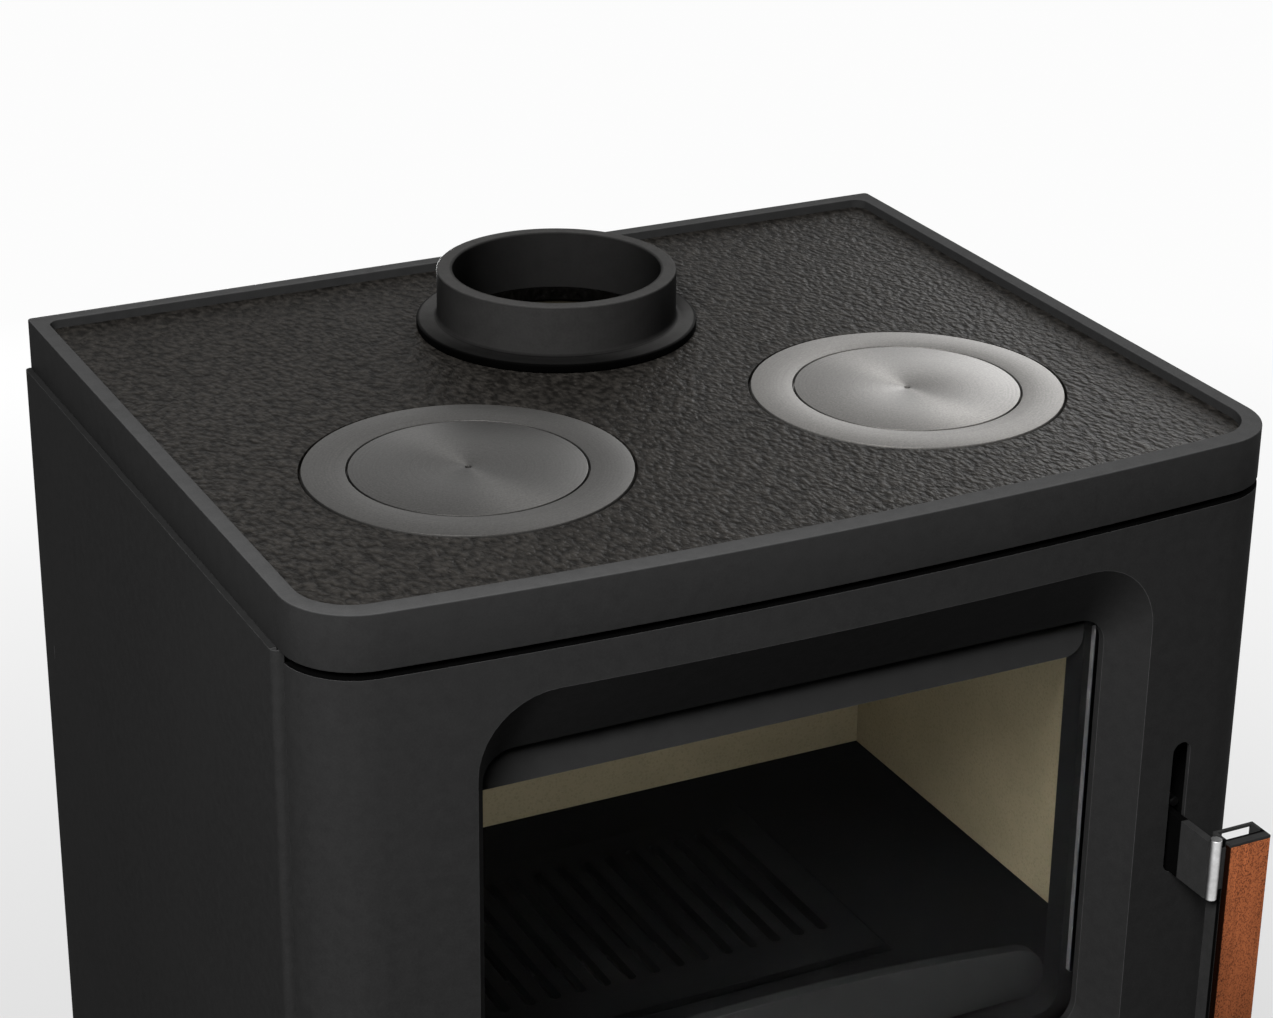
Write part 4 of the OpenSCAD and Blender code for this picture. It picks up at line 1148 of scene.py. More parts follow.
def plan_loop(
    bm: Mesh, z: float, side: float, front: float, back: float, rear: float
) -> list[Edge]:
    """The stove's outline as a closed loop at one level.

    Args:
        bm: the mesh to grow it in.
        z: the level.
        side: inset from the sides.
        front: inset from the bowed front.
        back: inset from the back.
        rear: radius of the rear corners.

    Returns:
        The loop's edges.
    """
    lift = UP * z
    corner, radius, lean = PLAN.bend(side, front)
    half = PLAN.half - side
    edge = PLAN.back - back
    flip = Vector((-corner.x, corner.y, 0))
    chain = Chain(bm, (rear - half, edge, z))
    chain.turn((rear - half, edge - rear, z), QUARTER, PLAN.rear_steps)
    chain.to(flip - Vector((radius, 0, -z)), cuts=PLAN.side_steps)
    chain.turn(flip + lift, QUARTER - lean, PLAN.corner_steps)
    chain.turn((0, PLAN.centre, z), 2 * lean, PLAN.bow_steps)
    chain.turn(corner + lift, QUARTER - lean, PLAN.corner_steps)
    chain.to((half, edge - rear, z), cuts=PLAN.side_steps)
    chain.turn((half - rear, edge - rear, z), QUARTER, PLAN.rear_steps)
    return chain.close().edges


def flat(level: float) -> Depth:
    """A depth that is the same for every X."""
    return lambda x: level


def upright_loop(
    bm: Mesh, outline: Outline, depth: Depth, square: bool = False, middle: float = 0.0
) -> list[Edge]:
    """A rounded rectangle in X and Z, laid at a depth that may follow the bow.

    Args:
        bm: the mesh to grow it in.
        outline: half its width, its lowest and highest level, and its corner radius, or a
            square corner's share of the loop.
        depth: gives Y for an X.
        square: keeps the corners square.
        middle: X of the loop's middle.

    Returns:
        The loop's edges.
    """
    half, low, high, radius = outline
    in_x = half - radius
    in_low = low + radius
    in_high = high - radius
    tips: tuple[Corner, ...] = ((half, high), (-half, high), (-half, low), (half, low))
    centres: tuple[Corner, ...] = (
        (in_x, in_high), (-in_x, in_high), (-in_x, in_low), (in_x, in_low)
    )
    leaves: tuple[Corner, ...] = ((in_x, high), (-half, in_high), (-in_x, low), (half, in_low))
    reaches: tuple[Corner, ...] = ((-in_x, high), (-half, in_low), (in_x, low), (half, in_high))
    chain = Chain(bm, (middle + half, 0, in_high))
    for i, tip in enumerate(tips):
        if square:
            for x, z in (tip, leaves[i]):
                chain.to((middle + x, 0, z), cuts=ROUND_STEPS // 2)
        else:
            chain.turn((middle + centres[i][0], 0, centres[i][1]), QUARTER, ROUND_STEPS, FACING)
        cuts = UPRIGHT_STEPS if i % 2 else LEVEL_STEPS
        chain.to((middle + reaches[i][0], 0, reaches[i][1]), cuts=cuts)
    bmesh.ops.pointmerge(bm, verts=[chain.tip, chain.first], merge_co=chain.first.co)
    alive = [v for v in chain.verts if v.is_valid]
    for vert in alive:
        vert.co.y = depth(vert.co.x)
    return edges_between(bm, alive)


def circle_loop(bm: Mesh, centre: Vector, radius: float, steps: int) -> list[Edge]:
    """A level circle.

    Args:
        bm: the mesh to make it in.
        centre: its centre.
        radius: its radius.
        steps: facets round it.

    Returns:
        The circle's edges.
    """
    place = Matrix.Translation(centre)
    made = bmesh.ops.create_circle(bm, segments=steps, radius=radius, matrix=place)
    return edges_between(bm, made["verts"])


def bridge(bm: Mesh, axis: Vector, *loops: list[Edge]) -> None:
    """Joins each loop to the next with faces.

    Args:
        bm: the mesh that holds the loops.
        axis: the way the loops look; they stand apart along it while they are joined.
        loops: the edges of each loop, in order.
    """
    rounds = [list({v for e in loop for v in e.verts}) for loop in loops]
    places = {v: v.co.copy() for verts in rounds for v in verts}
    for i, verts in enumerate(rounds):
        for vert in verts:
            vert.co = places[vert] + axis * i
    for first, second in zip(loops, loops[1:]):
        bmesh.ops.bridge_loops(bm, edges=first + second)
    for vert, place in places.items():
        vert.co = place


def prism(outline: Outline, near: float, far: float, middle: float = 0.0) -> Mesh:
    """A block with a rounded outline in X and Z.

    Args:
        outline: half its width, its lowest and highest level, and its corner radius.
        near: Y of its front.
        far: Y of its back.
        middle: X of its middle.

    Returns:
        The mesh.
    """
    bm = bmesh.new()
    ends = [upright_loop(bm, outline, flat(y), middle=middle) for y in (near, far)]
    bridge(bm, FACING, *ends)
    for loop in ends:
        fill(bm, loop)
    bmesh.ops.recalc_face_normals(bm, faces=bm.faces)
    return bm


def turned(profile: Sequence[Corner], centre: Vector, steps: int, closed: bool) -> Mesh:
    """Turns a profile about an upright axis.

    Args:
        profile: points as radius and level.
        centre: a point on the axis.
        steps: facets round the turn.
        closed: whether the profile ends where it begins.

    Returns:
        The mesh.
    """
    bm = bmesh.new()
    places = [Vector((centre.x + r, centre.y, z)) for r, z in profile]
    chain = Chain(bm, places[0]).to(*places[1:])
    if closed:
        chain.close()
    spun(bm, chain.verts + chain.edges, centre, FULL_TURN, steps, merge=True)
    merge_doubles(bm)
    bmesh.ops.recalc_face_normals(bm, faces=bm.faces)
    return bm


def soften(bm: Mesh, width: float, segments: int, least: float = 0.5) -> None:
    """Bevels every sharp edge.

    Args:
        bm: the mesh.
        width: how far the edges are rounded.
        segments: facets across a rounded edge.
        least: the smallest angle in radians that counts as sharp.
    """
    sharp = [e for e in bm.edges if len(e.link_faces) == 2 and e.calc_face_angle(0.0) > least]
    bmesh.ops.bevel(
        bm, geom=sharp, offset=width, offset_type="OFFSET", affect="EDGES", segments=segments,
        profile=0.5, material=-1, clamp_overlap=True
    )


@dataclass(frozen=True)
class Place:
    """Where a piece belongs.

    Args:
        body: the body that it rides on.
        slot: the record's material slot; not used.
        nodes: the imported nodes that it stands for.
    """

    body: Body
    slot: str
    nodes: tuple[str, ...]


def sheet_modifiers(piece: bpy.types.Object, wall: float) -> None:
    """Gives a sheet its thickness, inwards from its outer face.

    Args:
        piece: the object.
        wall: the thickness.
    """
    solid = piece.modifiers.new("wall", "SOLIDIFY")
    solid.thickness = wall
    solid.offset = -1.0
    solid.use_even_offset = True
    solid.use_quality_normals = True


def bevel_modifier(piece: bpy.types.Object, width: float, segments: int, least: float) -> None:
    """Rounds a piece's sharp edges.

    Args:
        piece: the object.
        width: how far the edges are rounded.
        segments: facets across a rounded edge.
        least: the smallest angle in degrees that counts as sharp.
    """
    bevel = piece.modifiers.new("edges", "BEVEL")
    bevel.width = width
    bevel.segments = segments
    bevel.limit_method = "ANGLE"
    bevel.angle_limit = math.radians(least)
    bevel.harden_normals = True


def settle(piece: bpy.types.Object) -> None:
    """Bakes a piece's modifiers into its mesh.

    Args:
        piece: the object.
    """
    graph = bpy.context.evaluated_depsgraph_get()
    made = bpy.data.meshes.new_from_object(
        piece.evaluated_get(graph), preserve_all_data_layers=True, depsgraph=graph
    )
    piece.modifiers.clear()
    piece.data = made


def new_object(bm: Mesh, name: str) -> bpy.types.Object:
    """Writes a mesh into a new linked object and frees the mesh.

    Args:
        bm: the mesh.
        name: the object's name.

    Returns:
        The object.
    """
    mesh = bpy.data.meshes.new(name)
    bm.to_mesh(mesh)
    bm.free()
    made = bpy.data.objects.new(name, mesh)
    bpy.context.scene.collection.objects.link(made)
    return made


def mark_edges(piece: bpy.types.Object) -> None:
    """Notes on each vertex whether it lies inside a rounded outer edge, for the paint's painted
    highlight there.

    Args:
        piece: the object.
    """
    settle(piece)
    bm = bmesh.new()
    bm.from_mesh(piece.data)
    marks = []
    for vert in bm.verts:
        slim = all(
            f.calc_area() < STRIP * max(e.calc_length() for e in f.edges) for f in vert.link_faces
        )
        swell = sum(e.calc_face_angle_signed(0.0) for e in vert.link_edges)
        marks.append(1.0 if slim and swell > 0 else 0.0)
    bm.free()
    piece.data.attributes.new(EDGE_HIGHLIGHT_ATTRIBUTE, "FLOAT", "POINT").data.foreach_set("value", marks)


def set_piece(piece: bpy.types.Object, place: Place, finish: Finish) -> None:
    """Shades a piece, gives it its finish and ties it to the frame.

    Args:
        piece: the object.
        place: where it belongs.
        finish: what it is made of.
    """
    piece.data.shade_smooth()
    piece.data.set_sharp_from_angle(angle=SHARP)
    # Paint with an edge highlight needs its rounded outer edges marked for that painted highlight.
    if isinstance(finish, Paint) and finish.edge_highlight_gain > 1.0:
        mark_edges(piece)
    piece.data.materials.clear()
    piece.data.materials.append(finish.material())
    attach(piece, place.body.value)
    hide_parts(*place.nodes)
    log.info("%s stands for %s", piece.name, ", ".join(place.nodes))


def cut_through(piece: bpy.types.Object, cutter: Mesh) -> None:
    """Cuts a closed shape out of a piece and bakes the result.

    Args:
        piece: the object.
        cutter: the shape.
    """
    tool = new_object(cutter, piece.name + "_cutter")
    cut = piece.modifiers.new("cut", "BOOLEAN")
    cut.operation = "DIFFERENCE"
    cut.solver = "EXACT"
    cut.object = tool
    settle(piece)
    bpy.data.objects.remove(tool)


def copied(node: str, body: Body, slot: str, finish: Finish, width: float = 0.0005) -> None:
    """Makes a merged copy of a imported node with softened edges.

    Args:
        node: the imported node's name.
        body: the body that it rides on.
        slot: the record's material slot.
        finish: what it is made of.
        width: how far its edges are rounded.
    """
    bm = bmesh.new()
    bm.from_mesh(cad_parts[node].data)
    merge_doubles(bm, 2 * MERGED)
    bmesh.ops.dissolve_limit(
        bm, angle_limit=math.radians(FLAT_DEGREES), use_dissolve_boundaries=False, verts=bm.verts,
        edges=bm.edges, delimit=set()
    )
    if node in HEIGHT_SHARES:
        foot = Matrix.Translation((0, 0, -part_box(node)[0].z))
        bmesh.ops.scale(bm, vec=(1, 1, HEIGHT_SHARES[node]), space=foot, verts=bm.verts)
    piece = new_object(bm, node + "_piece")
    bevel_modifier(piece, width, 2, COPY_DEGREES)
    set_piece(piece, Place(body, slot, (node,)), finish)


@dataclass
class HobTop:
    """The hob's frame and its casting.

    Args:
        rim: width of the rim at the sides and back.
        front_rim: width of the rim at the front.
        wall: thickness of the skirt.
        ledge: width of the ledge that carries the casting.
        ledge_wall: thickness of the ledge.
        inner_rear: radius of the rim's rear inner corners.
        outer_rear: radius of the frame's rear corners.
        edge: rounding of the frame's edges.
        play: gap round the casting.
        cast_edge: rounding of the casting's edges.
        rebate: radius of the rebates for the hotplate rings.
        rebate_deep: depth of the rebates.
        throat: radius of the holes under the rings.
        flue: radius of the hole under the collar.
        steps: facets round a hole.
    """

    rim: float = 0.010
    front_rim: float = 0.0135
    wall: float = 0.0035
    ledge: float = 0.006
    ledge_wall: float = 0.003
    inner_rear: float = 0.008
    outer_rear: float = 0.003
    edge: float = 0.0007
    play: float = 0.0004
    cast_edge: float = 0.0006
    rebate: float = 0.0954
    rebate_deep: float = 0.005
    throat: float = 0.089
    flue: float = 0.065
    steps: int = 96

    def build(self) -> None:
        """Makes the frame and the casting."""
        self.build_frame()
        self.build_casting()

    def inner(self, more: float) -> Outline:
        """The rim's inner insets and rear radius, a little further in."""
        return (self.rim + more, self.front_rim + more, self.rim + more, self.inner_rear)

    def build_frame(self) -> None:
        """Makes the rim, its skirt and the ledge inside it."""
        low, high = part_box("hob_frame")
        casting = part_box("hob_casting")[0].z
        ledge = casting - self.ledge_wall
        deep = self.inner(self.ledge)
        skirt = (self.wall, self.wall, self.wall, self.outer_rear)
        outer = (0.0, 0.0, 0.0, self.outer_rear)
        rounds = (
            (low.z, outer), (high.z, outer), (high.z, self.inner(0)), (casting, self.inner(0)),
            (casting, deep), (ledge, deep), (ledge, skirt), (low.z, skirt),
        )
        bm = bmesh.new()
        loops = [plan_loop(bm, z, *insets) for z, insets in rounds]
        bridge(bm, UP, *loops)
        bridge(bm, UP, loops[-1], loops[0])
        bmesh.ops.recalc_face_normals(bm, faces=bm.faces)
        soften(bm, self.edge, 3)
        piece = new_object(bm, "hob_rim")
        set_piece(piece, Place(Body.CARCASS, "casing", ("hob_frame",)), RIM_PAINT)

    def build_casting(self) -> None:
        """Makes the casting: a hammered plate with rebated holes."""
        low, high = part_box("hob_casting")
        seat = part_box("ring_left")[1].z - self.rebate_deep
        bm = bmesh.new()
        top = plan_loop(bm, high.z, *self.inner(self.play))
        bottom = plan_loop(bm, low.z, *self.inner(self.play))
        bridge(bm, UP, top, bottom)
        rebated = (
            (self.rebate, high.z), (self.rebate, seat), (self.throat, seat), (self.throat, low.z)
        )
        plain = ((self.flue, high.z), (self.flue, low.z))
        for name, levels in (
            ("ring_left", rebated), ("ring_right", rebated), ("flue_collar", plain)
        ):
            near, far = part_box(name)
            centre = (near + far) / 2
            rounds = [
                circle_loop(bm, Vector((centre.x, centre.y, z)), r, self.steps) for r, z in levels
            ]
            bridge(bm, UP, *rounds)
            top += rounds[0]
            bottom += rounds[-1]
        fill(bm, top)
        fill(bm, bottom)
        bmesh.ops.recalc_face_normals(bm, faces=bm.faces)
        piece = new_object(bm, "hob_plate")
        bevel_modifier(piece, self.cast_edge, 2, COPY_DEGREES)
        set_piece(piece, Place(Body.CARCASS, "hob_iron", ("hob_casting",)), HOB_IRON)


@dataclass
class Hotplate:
    """A hotplate's ring and disc.

    Args:
        hand: which hotplate.
        tint: the steel's colour.
        lip: thickness of the rims.
        seat: how far the rims reach over what carries them.
        play: gap round the ring and round the disc.
        lifter: radius of the lifting hole.
        steps: facets round.
        edge: rounding of the edges.
    """

    hand: Hand
    tint: Colour
    lip: float = 0.0045
    seat: float = 0.006
    play: float = 0.0013
    lifter: float = 0.0019
    steps: int = 128
    edge: float = 0.0005

    def build(self) -> None:
        """Turns the ring and the disc."""
        ring_low, ring_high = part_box("ring_" + self.hand.value)
        disc_low, disc_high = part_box("disc_" + self.hand.value)
        centre = (disc_low + disc_high) / 2
        top = ring_high.z
        under = top - self.lip
        ring = (ring_high.x - ring_low.x) / 2 - self.play
        disc = (disc_high.x - disc_low.x) / 2
        inner = disc + self.play
        seat = under - self.edge
        ring_profile = (
            (ring - self.seat, ring_low.z), (ring - self.seat, seat), (ring, seat), (ring, top),
            (inner, top), (inner, under), (disc - self.seat, under), (disc - self.seat, ring_low.z),
        )
        plug = disc - self.seat - self.play
        disc_profile = (
            (0, disc_low.z), (plug, disc_low.z), (plug, under), (disc, under), (disc, top),
            (self.lifter, top), (self.lifter, under), (0, under),
        )
        place = tuple(centre)
        # Both hotplate finishes paint highlight wedges into the colour; the ring's are faint.
        faced = TurnedSteel("turned disc " + self.hand.value, self.tint, 0.48, centre=place)
        brushed = TurnedSteel(
            "turned ring " + self.hand.value, self.tint, 0.55, centre=place, anisotropy=0.0,
            streak=0.12
        )
        self.build_plate("ring", turned(ring_profile, centre, self.steps, True), brushed)
        self.build_plate("disc", turned(disc_profile, centre, self.steps, False), faced)

    def build_plate(self, name: str, bm: Mesh, finish: Finish) -> None:
        """Makes a piece of the ring or the disc.

        Args:
            name: ring or disc.
            bm: its mesh.
            finish: what it is made of.
        """
        soften(bm, self.edge, 2)
        piece = new_object(bm, f"hotplate_{name}_{self.hand.value}")
        body = Body[f"{name}_{self.hand.value}".upper()]
        set_piece(piece, Place(body, "hotplate_iron", (f"{name}_{self.hand.value}",)), finish)


@dataclass
class FlueCollar:
    """The flue collar with its flange and cove.

    Args:
        wall: thickness of the tube.
        flange_edge: thickness of the flange.
        tube: radius of the tube.
        cove: radius of the cove at the tube's foot.
        cove_steps: facets of the cove.
        edge: rounding of the edges.
        sharp: the smallest angle in radians that is rounded.
        shadow_edge: how far outside the bore the painted shade begins.
        steps: facets round.
    """

    wall: float = 0.010
    flange_edge: float = 0.0055
    tube: float = 0.075
    cove: float = 0.004
    cove_steps: int = 5
    edge: float = 0.0012
    sharp: float = 0.9
    shadow_edge: float = 0.0022
    steps: int = 128

    def build(self) -> None:
        """Turns the collar, with the cove as an arc in its profile."""
        low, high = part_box("flue_collar")
        centre = (low + high) / 2
        flange = (high.x - low.x) / 2
        shelf = low.z + self.flange_edge
        bore = self.tube - self.wall
        angles = [QUARTER * i / self.cove_steps for i in range(self.cove_steps + 1)]
        arc = [
            (self.tube + self.cove * (1 - math.sin(a)), shelf + self.cove * (1 - math.cos(a)))
            for a in angles
        ]
        profile = (
            (bore, low.z), (flange, low.z), (flange, shelf), *arc, (self.tube, high.z),
            (bore, high.z),
        )
        bm = turned(profile, centre, self.steps, True)
        soften(bm, self.edge, 3, self.sharp)
        piece = new_object(bm, "flue_ring")
        # The collar's finish paints light onto its upward faces (level), a highlight on the tube's
        # front and shade in the bore and on the flange.
        finish = LitAndShadedIron(
            "collar iron", (0.0185, 0.0182, 0.0178, 1.0), 0.45, 0.002, 700.0, 0.00008, level=3.2,
            axis=(centre.x, centre.y, 0.0), bore=bore + self.shadow_edge, flange=flange, shelf=shelf
        )
        set_piece(piece, Place(Body.CARCASS, "hob_iron", ("flue_collar",)), finish)


@dataclass
class SidePanel:
    """One side panel: a sheet with a rolled front edge, a turned top lip and a rear flange.

    Args:
        hand: which side.
        wall: thickness of the sheet.
        roll: outer radius of the rolled edge.
        roll_steps: facets of the roll.
        lip: how far the roll goes on inwards.
        rear: outer radius of the rear bend.
        rear_steps: facets of the rear bend.
        flange: depth of the rear flange.
        slot_back: the tab slot's place in front of the back.
        slot_wide: width of the tab slot.
        slot_low: the tab slot's lower end.
        slot_high: the tab slot's upper end.
        top_lip: how far the top is turned inwards.
        edge: rounding of the edges.
        sharp: the smallest angle in degrees that is rounded.
    """

    hand: Hand
    wall: float = 0.0015
    roll: float = 0.0046
    roll_steps: int = 8
    lip: float = 0.002
    rear: float = 0.003
    rear_steps: int = 5
    flange: float = 0.016
    slot_back: float = 0.023
    slot_wide: float = 0.0012
    slot_low: float = 0.624
    slot_high: float = 0.633
    top_lip: float = 0.0042
    edge: float = 0.0003
    sharp: float = 50.0

    def build(self) -> None:
        """Bends the sheet, cuts its slot and gives it its wall."""
        node = "side_panel_" + self.hand.value
        low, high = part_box(node)
        face = max(abs(low.x), abs(high.x))
        bm = self.bent(face, low, high)
        self.turn_top(bm, face, high.z)
        self.cut_slot(bm, high.y - self.slot_back)
        bmesh.ops.scale(bm, vec=(self.hand.sign, 1, 1), verts=bm.verts)
        bm.normal_update()
        widest = max(bm.faces, key=lambda f: f.calc_area())
        if widest.normal.x * self.hand.sign < 0:
            bmesh.ops.reverse_faces(bm, faces=bm.faces)
        piece = new_object(bm, "side_sheet_" + self.hand.value)
        sheet_modifiers(piece, self.wall)
        bevel_modifier(piece, self.edge, 2, self.sharp)
        set_piece(piece, Place(Body.CARCASS, "casing", (node,)), CASING)

    def bent(self, face: float, low: Vector, high: Vector) -> Mesh:
        """The sheet with its roll and its flange.

        Args:
            face: X of its outer face.
            low: the panel's lower corner.
            high: the panel's upper corner.

        Returns:
            The mesh, on the right side.
        """
        bend = face - self.roll
        bm = bmesh.new()
        chain = Chain(bm, (bend - self.lip, low.y, low.z)).to((bend, low.y, low.z))
        chain.turn((bend, low.y + self.roll, low.z), QUARTER, self.roll_steps)
        chain.to((face, high.y - self.rear, low.z), cuts=3)
        chain.turn((face - self.rear, high.y - self.rear, low.z), QUARTER, self.rear_steps)
        chain.to((face - self.flange, high.y, low.z))
        rise = verts_in(bmesh.ops.extrude_edge_only(bm, edges=chain.edges)["geom"])
        bmesh.ops.translate(bm, verts=rise, vec=UP * (high.z - low.z))
        return bm

    def turn_top(self, bm: Mesh, face: float, top: float) -> None:
        """Turns the flat side's top edge inwards.

        Args:
            bm: the mesh.
            face: X of its outer face.
            top: its highest level.
        """
        edges = [
            e for e in bm.edges
            if all(v.co.z > top - TOUCH and v.co.x > face - TOUCH for v in e.verts)
        ]
        inwards = verts_in(bmesh.ops.extrude_edge_only(bm, edges=edges)["geom"])
        bmesh.ops.translate(bm, verts=inwards, vec=SIDEWAYS * -self.top_lip)

    def cut_slot(self, bm: Mesh, slot: float) -> None:
        """Cuts the tab slot.

        Args:
            bm: the mesh.
            slot: Y of the slot's front.
        """
        back = slot + self.slot_wide
        for place, normal in (
            ((0, slot, 0), -FACING), ((0, back, 0), -FACING),
            ((0, 0, self.slot_low), UP), ((0, 0, self.slot_high), UP),
        ):
            part_at(bm, place, normal)
        middles = {f: f.calc_center_median() for f in bm.faces}
        gone = [
            f for f, at in middles.items()
            if slot < at.y < back and self.slot_low < at.z < self.slot_high
        ]
        bmesh.ops.delete(bm, geom=gone, context="FACES")


@dataclass
class BowedFront:
    """A bowed front sheet: wrapped round the corners and turned back at top and bottom.

    Args:
        low: its lowest level.
        high: its highest level.
        wrap: Y at which the wrapped sides end.
        share: a square corner's share of the outline.
        wall: thickness of the sheet.
        edge: rounding of its edges.
        sharp: the smallest angle in degrees that is rounded.
        cutter_reach: how far a cutter stands out in front.
    """

    low: float
    high: float
    wrap: float = -0.1987
    share: float = 0.05
    wall: float = 0.003
    edge: float = 0.0011
    sharp: float = 30.0
    cutter_reach: float = 0.01

    @property
    def tangent(self) -> float:
        """X at which the bow runs into the right corner."""
        corner, radius, lean = PLAN.bend(0, 0)
        return corner.x + radius * math.sin(lean)

    def outline(self, bm: Mesh) -> list[Edge]:
        """The bowed face's outline, between the two tangent lines."""
        return upright_loop(
            bm, (self.tangent, self.low, self.high, self.share), PLAN.face, square=True
        )

    def wrap_round(self, bm: Mesh) -> None:
        """Adds the wrapped corners and the turned-back edges to the bowed face.

        Args:
            bm: the mesh.
        """
        corner, radius, lean = PLAN.bend(0, 0)
        sweep = QUARTER - lean - math.asin((corner.y - self.wrap) / radius)
        limit = self.tangent - TOUCH
        for side in (-1, 1):
            edges = [
                e for e in bm.edges
                if e.is_boundary and all(v.co.x * side > limit for v in e.verts)
            ]
            verts = list({v for e in edges for v in e.verts})
            centre = (side * corner.x, corner.y, 0)
            spun(bm, verts + edges, centre, side * sweep, PLAN.corner_steps)
        merge_doubles(bm)
        for level in (self.low, self.high):
            edges = [
                e for e in bm.edges
                if e.is_boundary and all(abs(v.co.z - level) < TOUCH for v in e.verts)
            ]
            for vert in verts_in(bmesh.ops.extrude_edge_only(bm, edges=edges)["geom"]):
                vert.co.y = self.wrap
        merge_doubles(bm)

    def face_out(self, bm: Mesh) -> None:
        """Turns all faces so that the bowed face looks forwards.

        Args:
            bm: the mesh.
        """
        bmesh.ops.recalc_face_normals(bm, faces=bm.faces)
        front = min(bm.faces, key=lambda f: f.calc_center_median().y)
        if front.normal.y > 0:
            bmesh.ops.reverse_faces(bm, faces=bm.faces)

    def slot_cutter(self, outline: Outline, middle: float = 0.0) -> Mesh:
        """A closed cutter through the sheet with a rounded outline."""
        return prism(outline, PLAN.front - self.cutter_reach, self.wrap, middle)


@dataclass
class FireDoor(BowedFront):
    """The fire door: bowed casting with its sloped window surround, glazing and seal.

    Args:
        sharp: the smallest angle in degrees that is rounded.
        bevel: the surround's outer outline as half width, lowest, highest and radius.
        window: the window's outline in the same way.
        lever_slot: the lever's slot in the same way.
        surround_depth: how deep the window lies behind the bow.
        glass_bed: depth of the window's upright edge.
        flange: how far the glass flange goes out behind.
        overrun: how far the upper and lower bars run on behind the left edge, to be cut there.
        bar_inner: X of the side bars' inner edges.
        bar_edge: rounding of the bars' edges.
        fitting_edge: rounding of the fittings' edges.
    """

    sharp: float = 24.0
    bevel: Outline = (0.2126, 0.418, 0.790, 0.046)
    window: Outline = (0.1985, 0.463, 0.7436, 0.018)
    lever_slot: Outline = (0.0065, 0.5738, 0.6614, 0.0064)
    surround_depth: float = 0.0338
    glass_bed: float = 0.005
    flange: float = 0.018
    overrun: float = 0.03
    bar_inner: float = 0.1992
    bar_edge: float = 0.0004
    fitting_edge: float = 0.0006

    def build(self) -> None:
        """Makes the casting, the glazing and what else is fixed to it."""
        self.build_casting()
        self.build_glazing()
        for node, slot, finish in (
            ("door_frame", "casing", INNER), ("door_rope", "seal", ROPE),
            ("glass_gasket", "seal", ROPE), ("frame_bolts", "plain_steel", STEEL),
            ("lever_bracket", "casing", INNER), ("lever_pin", "plain_steel", STEEL),
        ):
            copied(node, Body.DOOR, slot, finish, self.fitting_edge)

    def build_casting(self) -> None:
        """Makes the bowed face with the surround sunk into it and the lever's slot."""
        bm = bmesh.new()
        flange_y = PLAN.front + self.surround_depth
        behind = flat(flange_y + self.glass_bed)
        half, low, high, radius = self.window
        grown = (half + self.flange, low - self.flange, high + self.flange, radius + self.flange)
        loops = (
            self.outline(bm),
            upright_loop(bm, self.bevel, PLAN.face),
            upright_loop(bm, self.window, flat(flange_y)),
            upright_loop(bm, self.window, behind),
            upright_loop(bm, grown, behind),
        )
        bridge(bm, FACING, *loops)
        self.wrap_round(bm)
        self.face_out(bm)
        piece = new_object(bm, "door_casting_piece")
        sheet_modifiers(piece, self.wall)
        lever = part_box("lever_plate")
        cut_through(piece, self.slot_cutter(self.lever_slot, (lever[0].x + lever[1].x) / 2))
        bevel_modifier(piece, self.edge, 3, self.sharp)
        set_piece(piece, Place(Body.DOOR, "casing", ("door_casting",)), DOOR_PAINT)

    def build_glazing(self) -> None:
        """Makes the glass and the four bars that clamp it."""
        for node, slot, finish, radius in (
            ("window_glass", "glass", GLASS, 0.008),
            ("glass_bar_left", "plain_steel", SIDE_BAR_PAINT, 0.0008),
            ("glass_bar_right", "plain_steel", SIDE_BAR_PAINT, 0.0008),
            ("glass_bar_top", "casing", BAR_PAINT, 0.012),
            ("glass_bar_bottom", "casing", BAR_PAINT, 0.004),
        ):
            low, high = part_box(node)
            start, end = self.span(finish, low.x, high.x)
            outline = ((end - start) / 2, low.z, high.z, radius)
            bm = prism(outline, low.y, high.y, (start + end) / 2)
            if finish is BAR_PAINT:
                cut = part_at(bm, SIDEWAYS * -self.window[0], SIDEWAYS, keep=False)
                fill(bm, [g for g in cut if isinstance(g, Edge)])
                bmesh.ops.recalc_face_normals(bm, faces=bm.faces)
            piece = new_object(bm, node + "_piece")
            bevel_modifier(piece, self.bar_edge, 2, COPY_DEGREES)
            set_piece(piece, Place(Body.DOOR, slot, (node,)), finish)

    def span(self, finish: Finish, start: float, end: float) -> Corner:
        """Where a bar begins and ends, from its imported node's ends.

        Args:
            finish: what the bar is made of.
            start: X of its node's left end.
            end: X of its node's right end.

        Returns:
            X of the bar's ends.
        """
        if finish is BAR_PAINT:
            return start - self.overrun, end
        if finish is not SIDE_BAR_PAINT:
            return start, end
        return (start, -self.bar_inner) if start < 0 else (max(start, self.bar_inner), end)


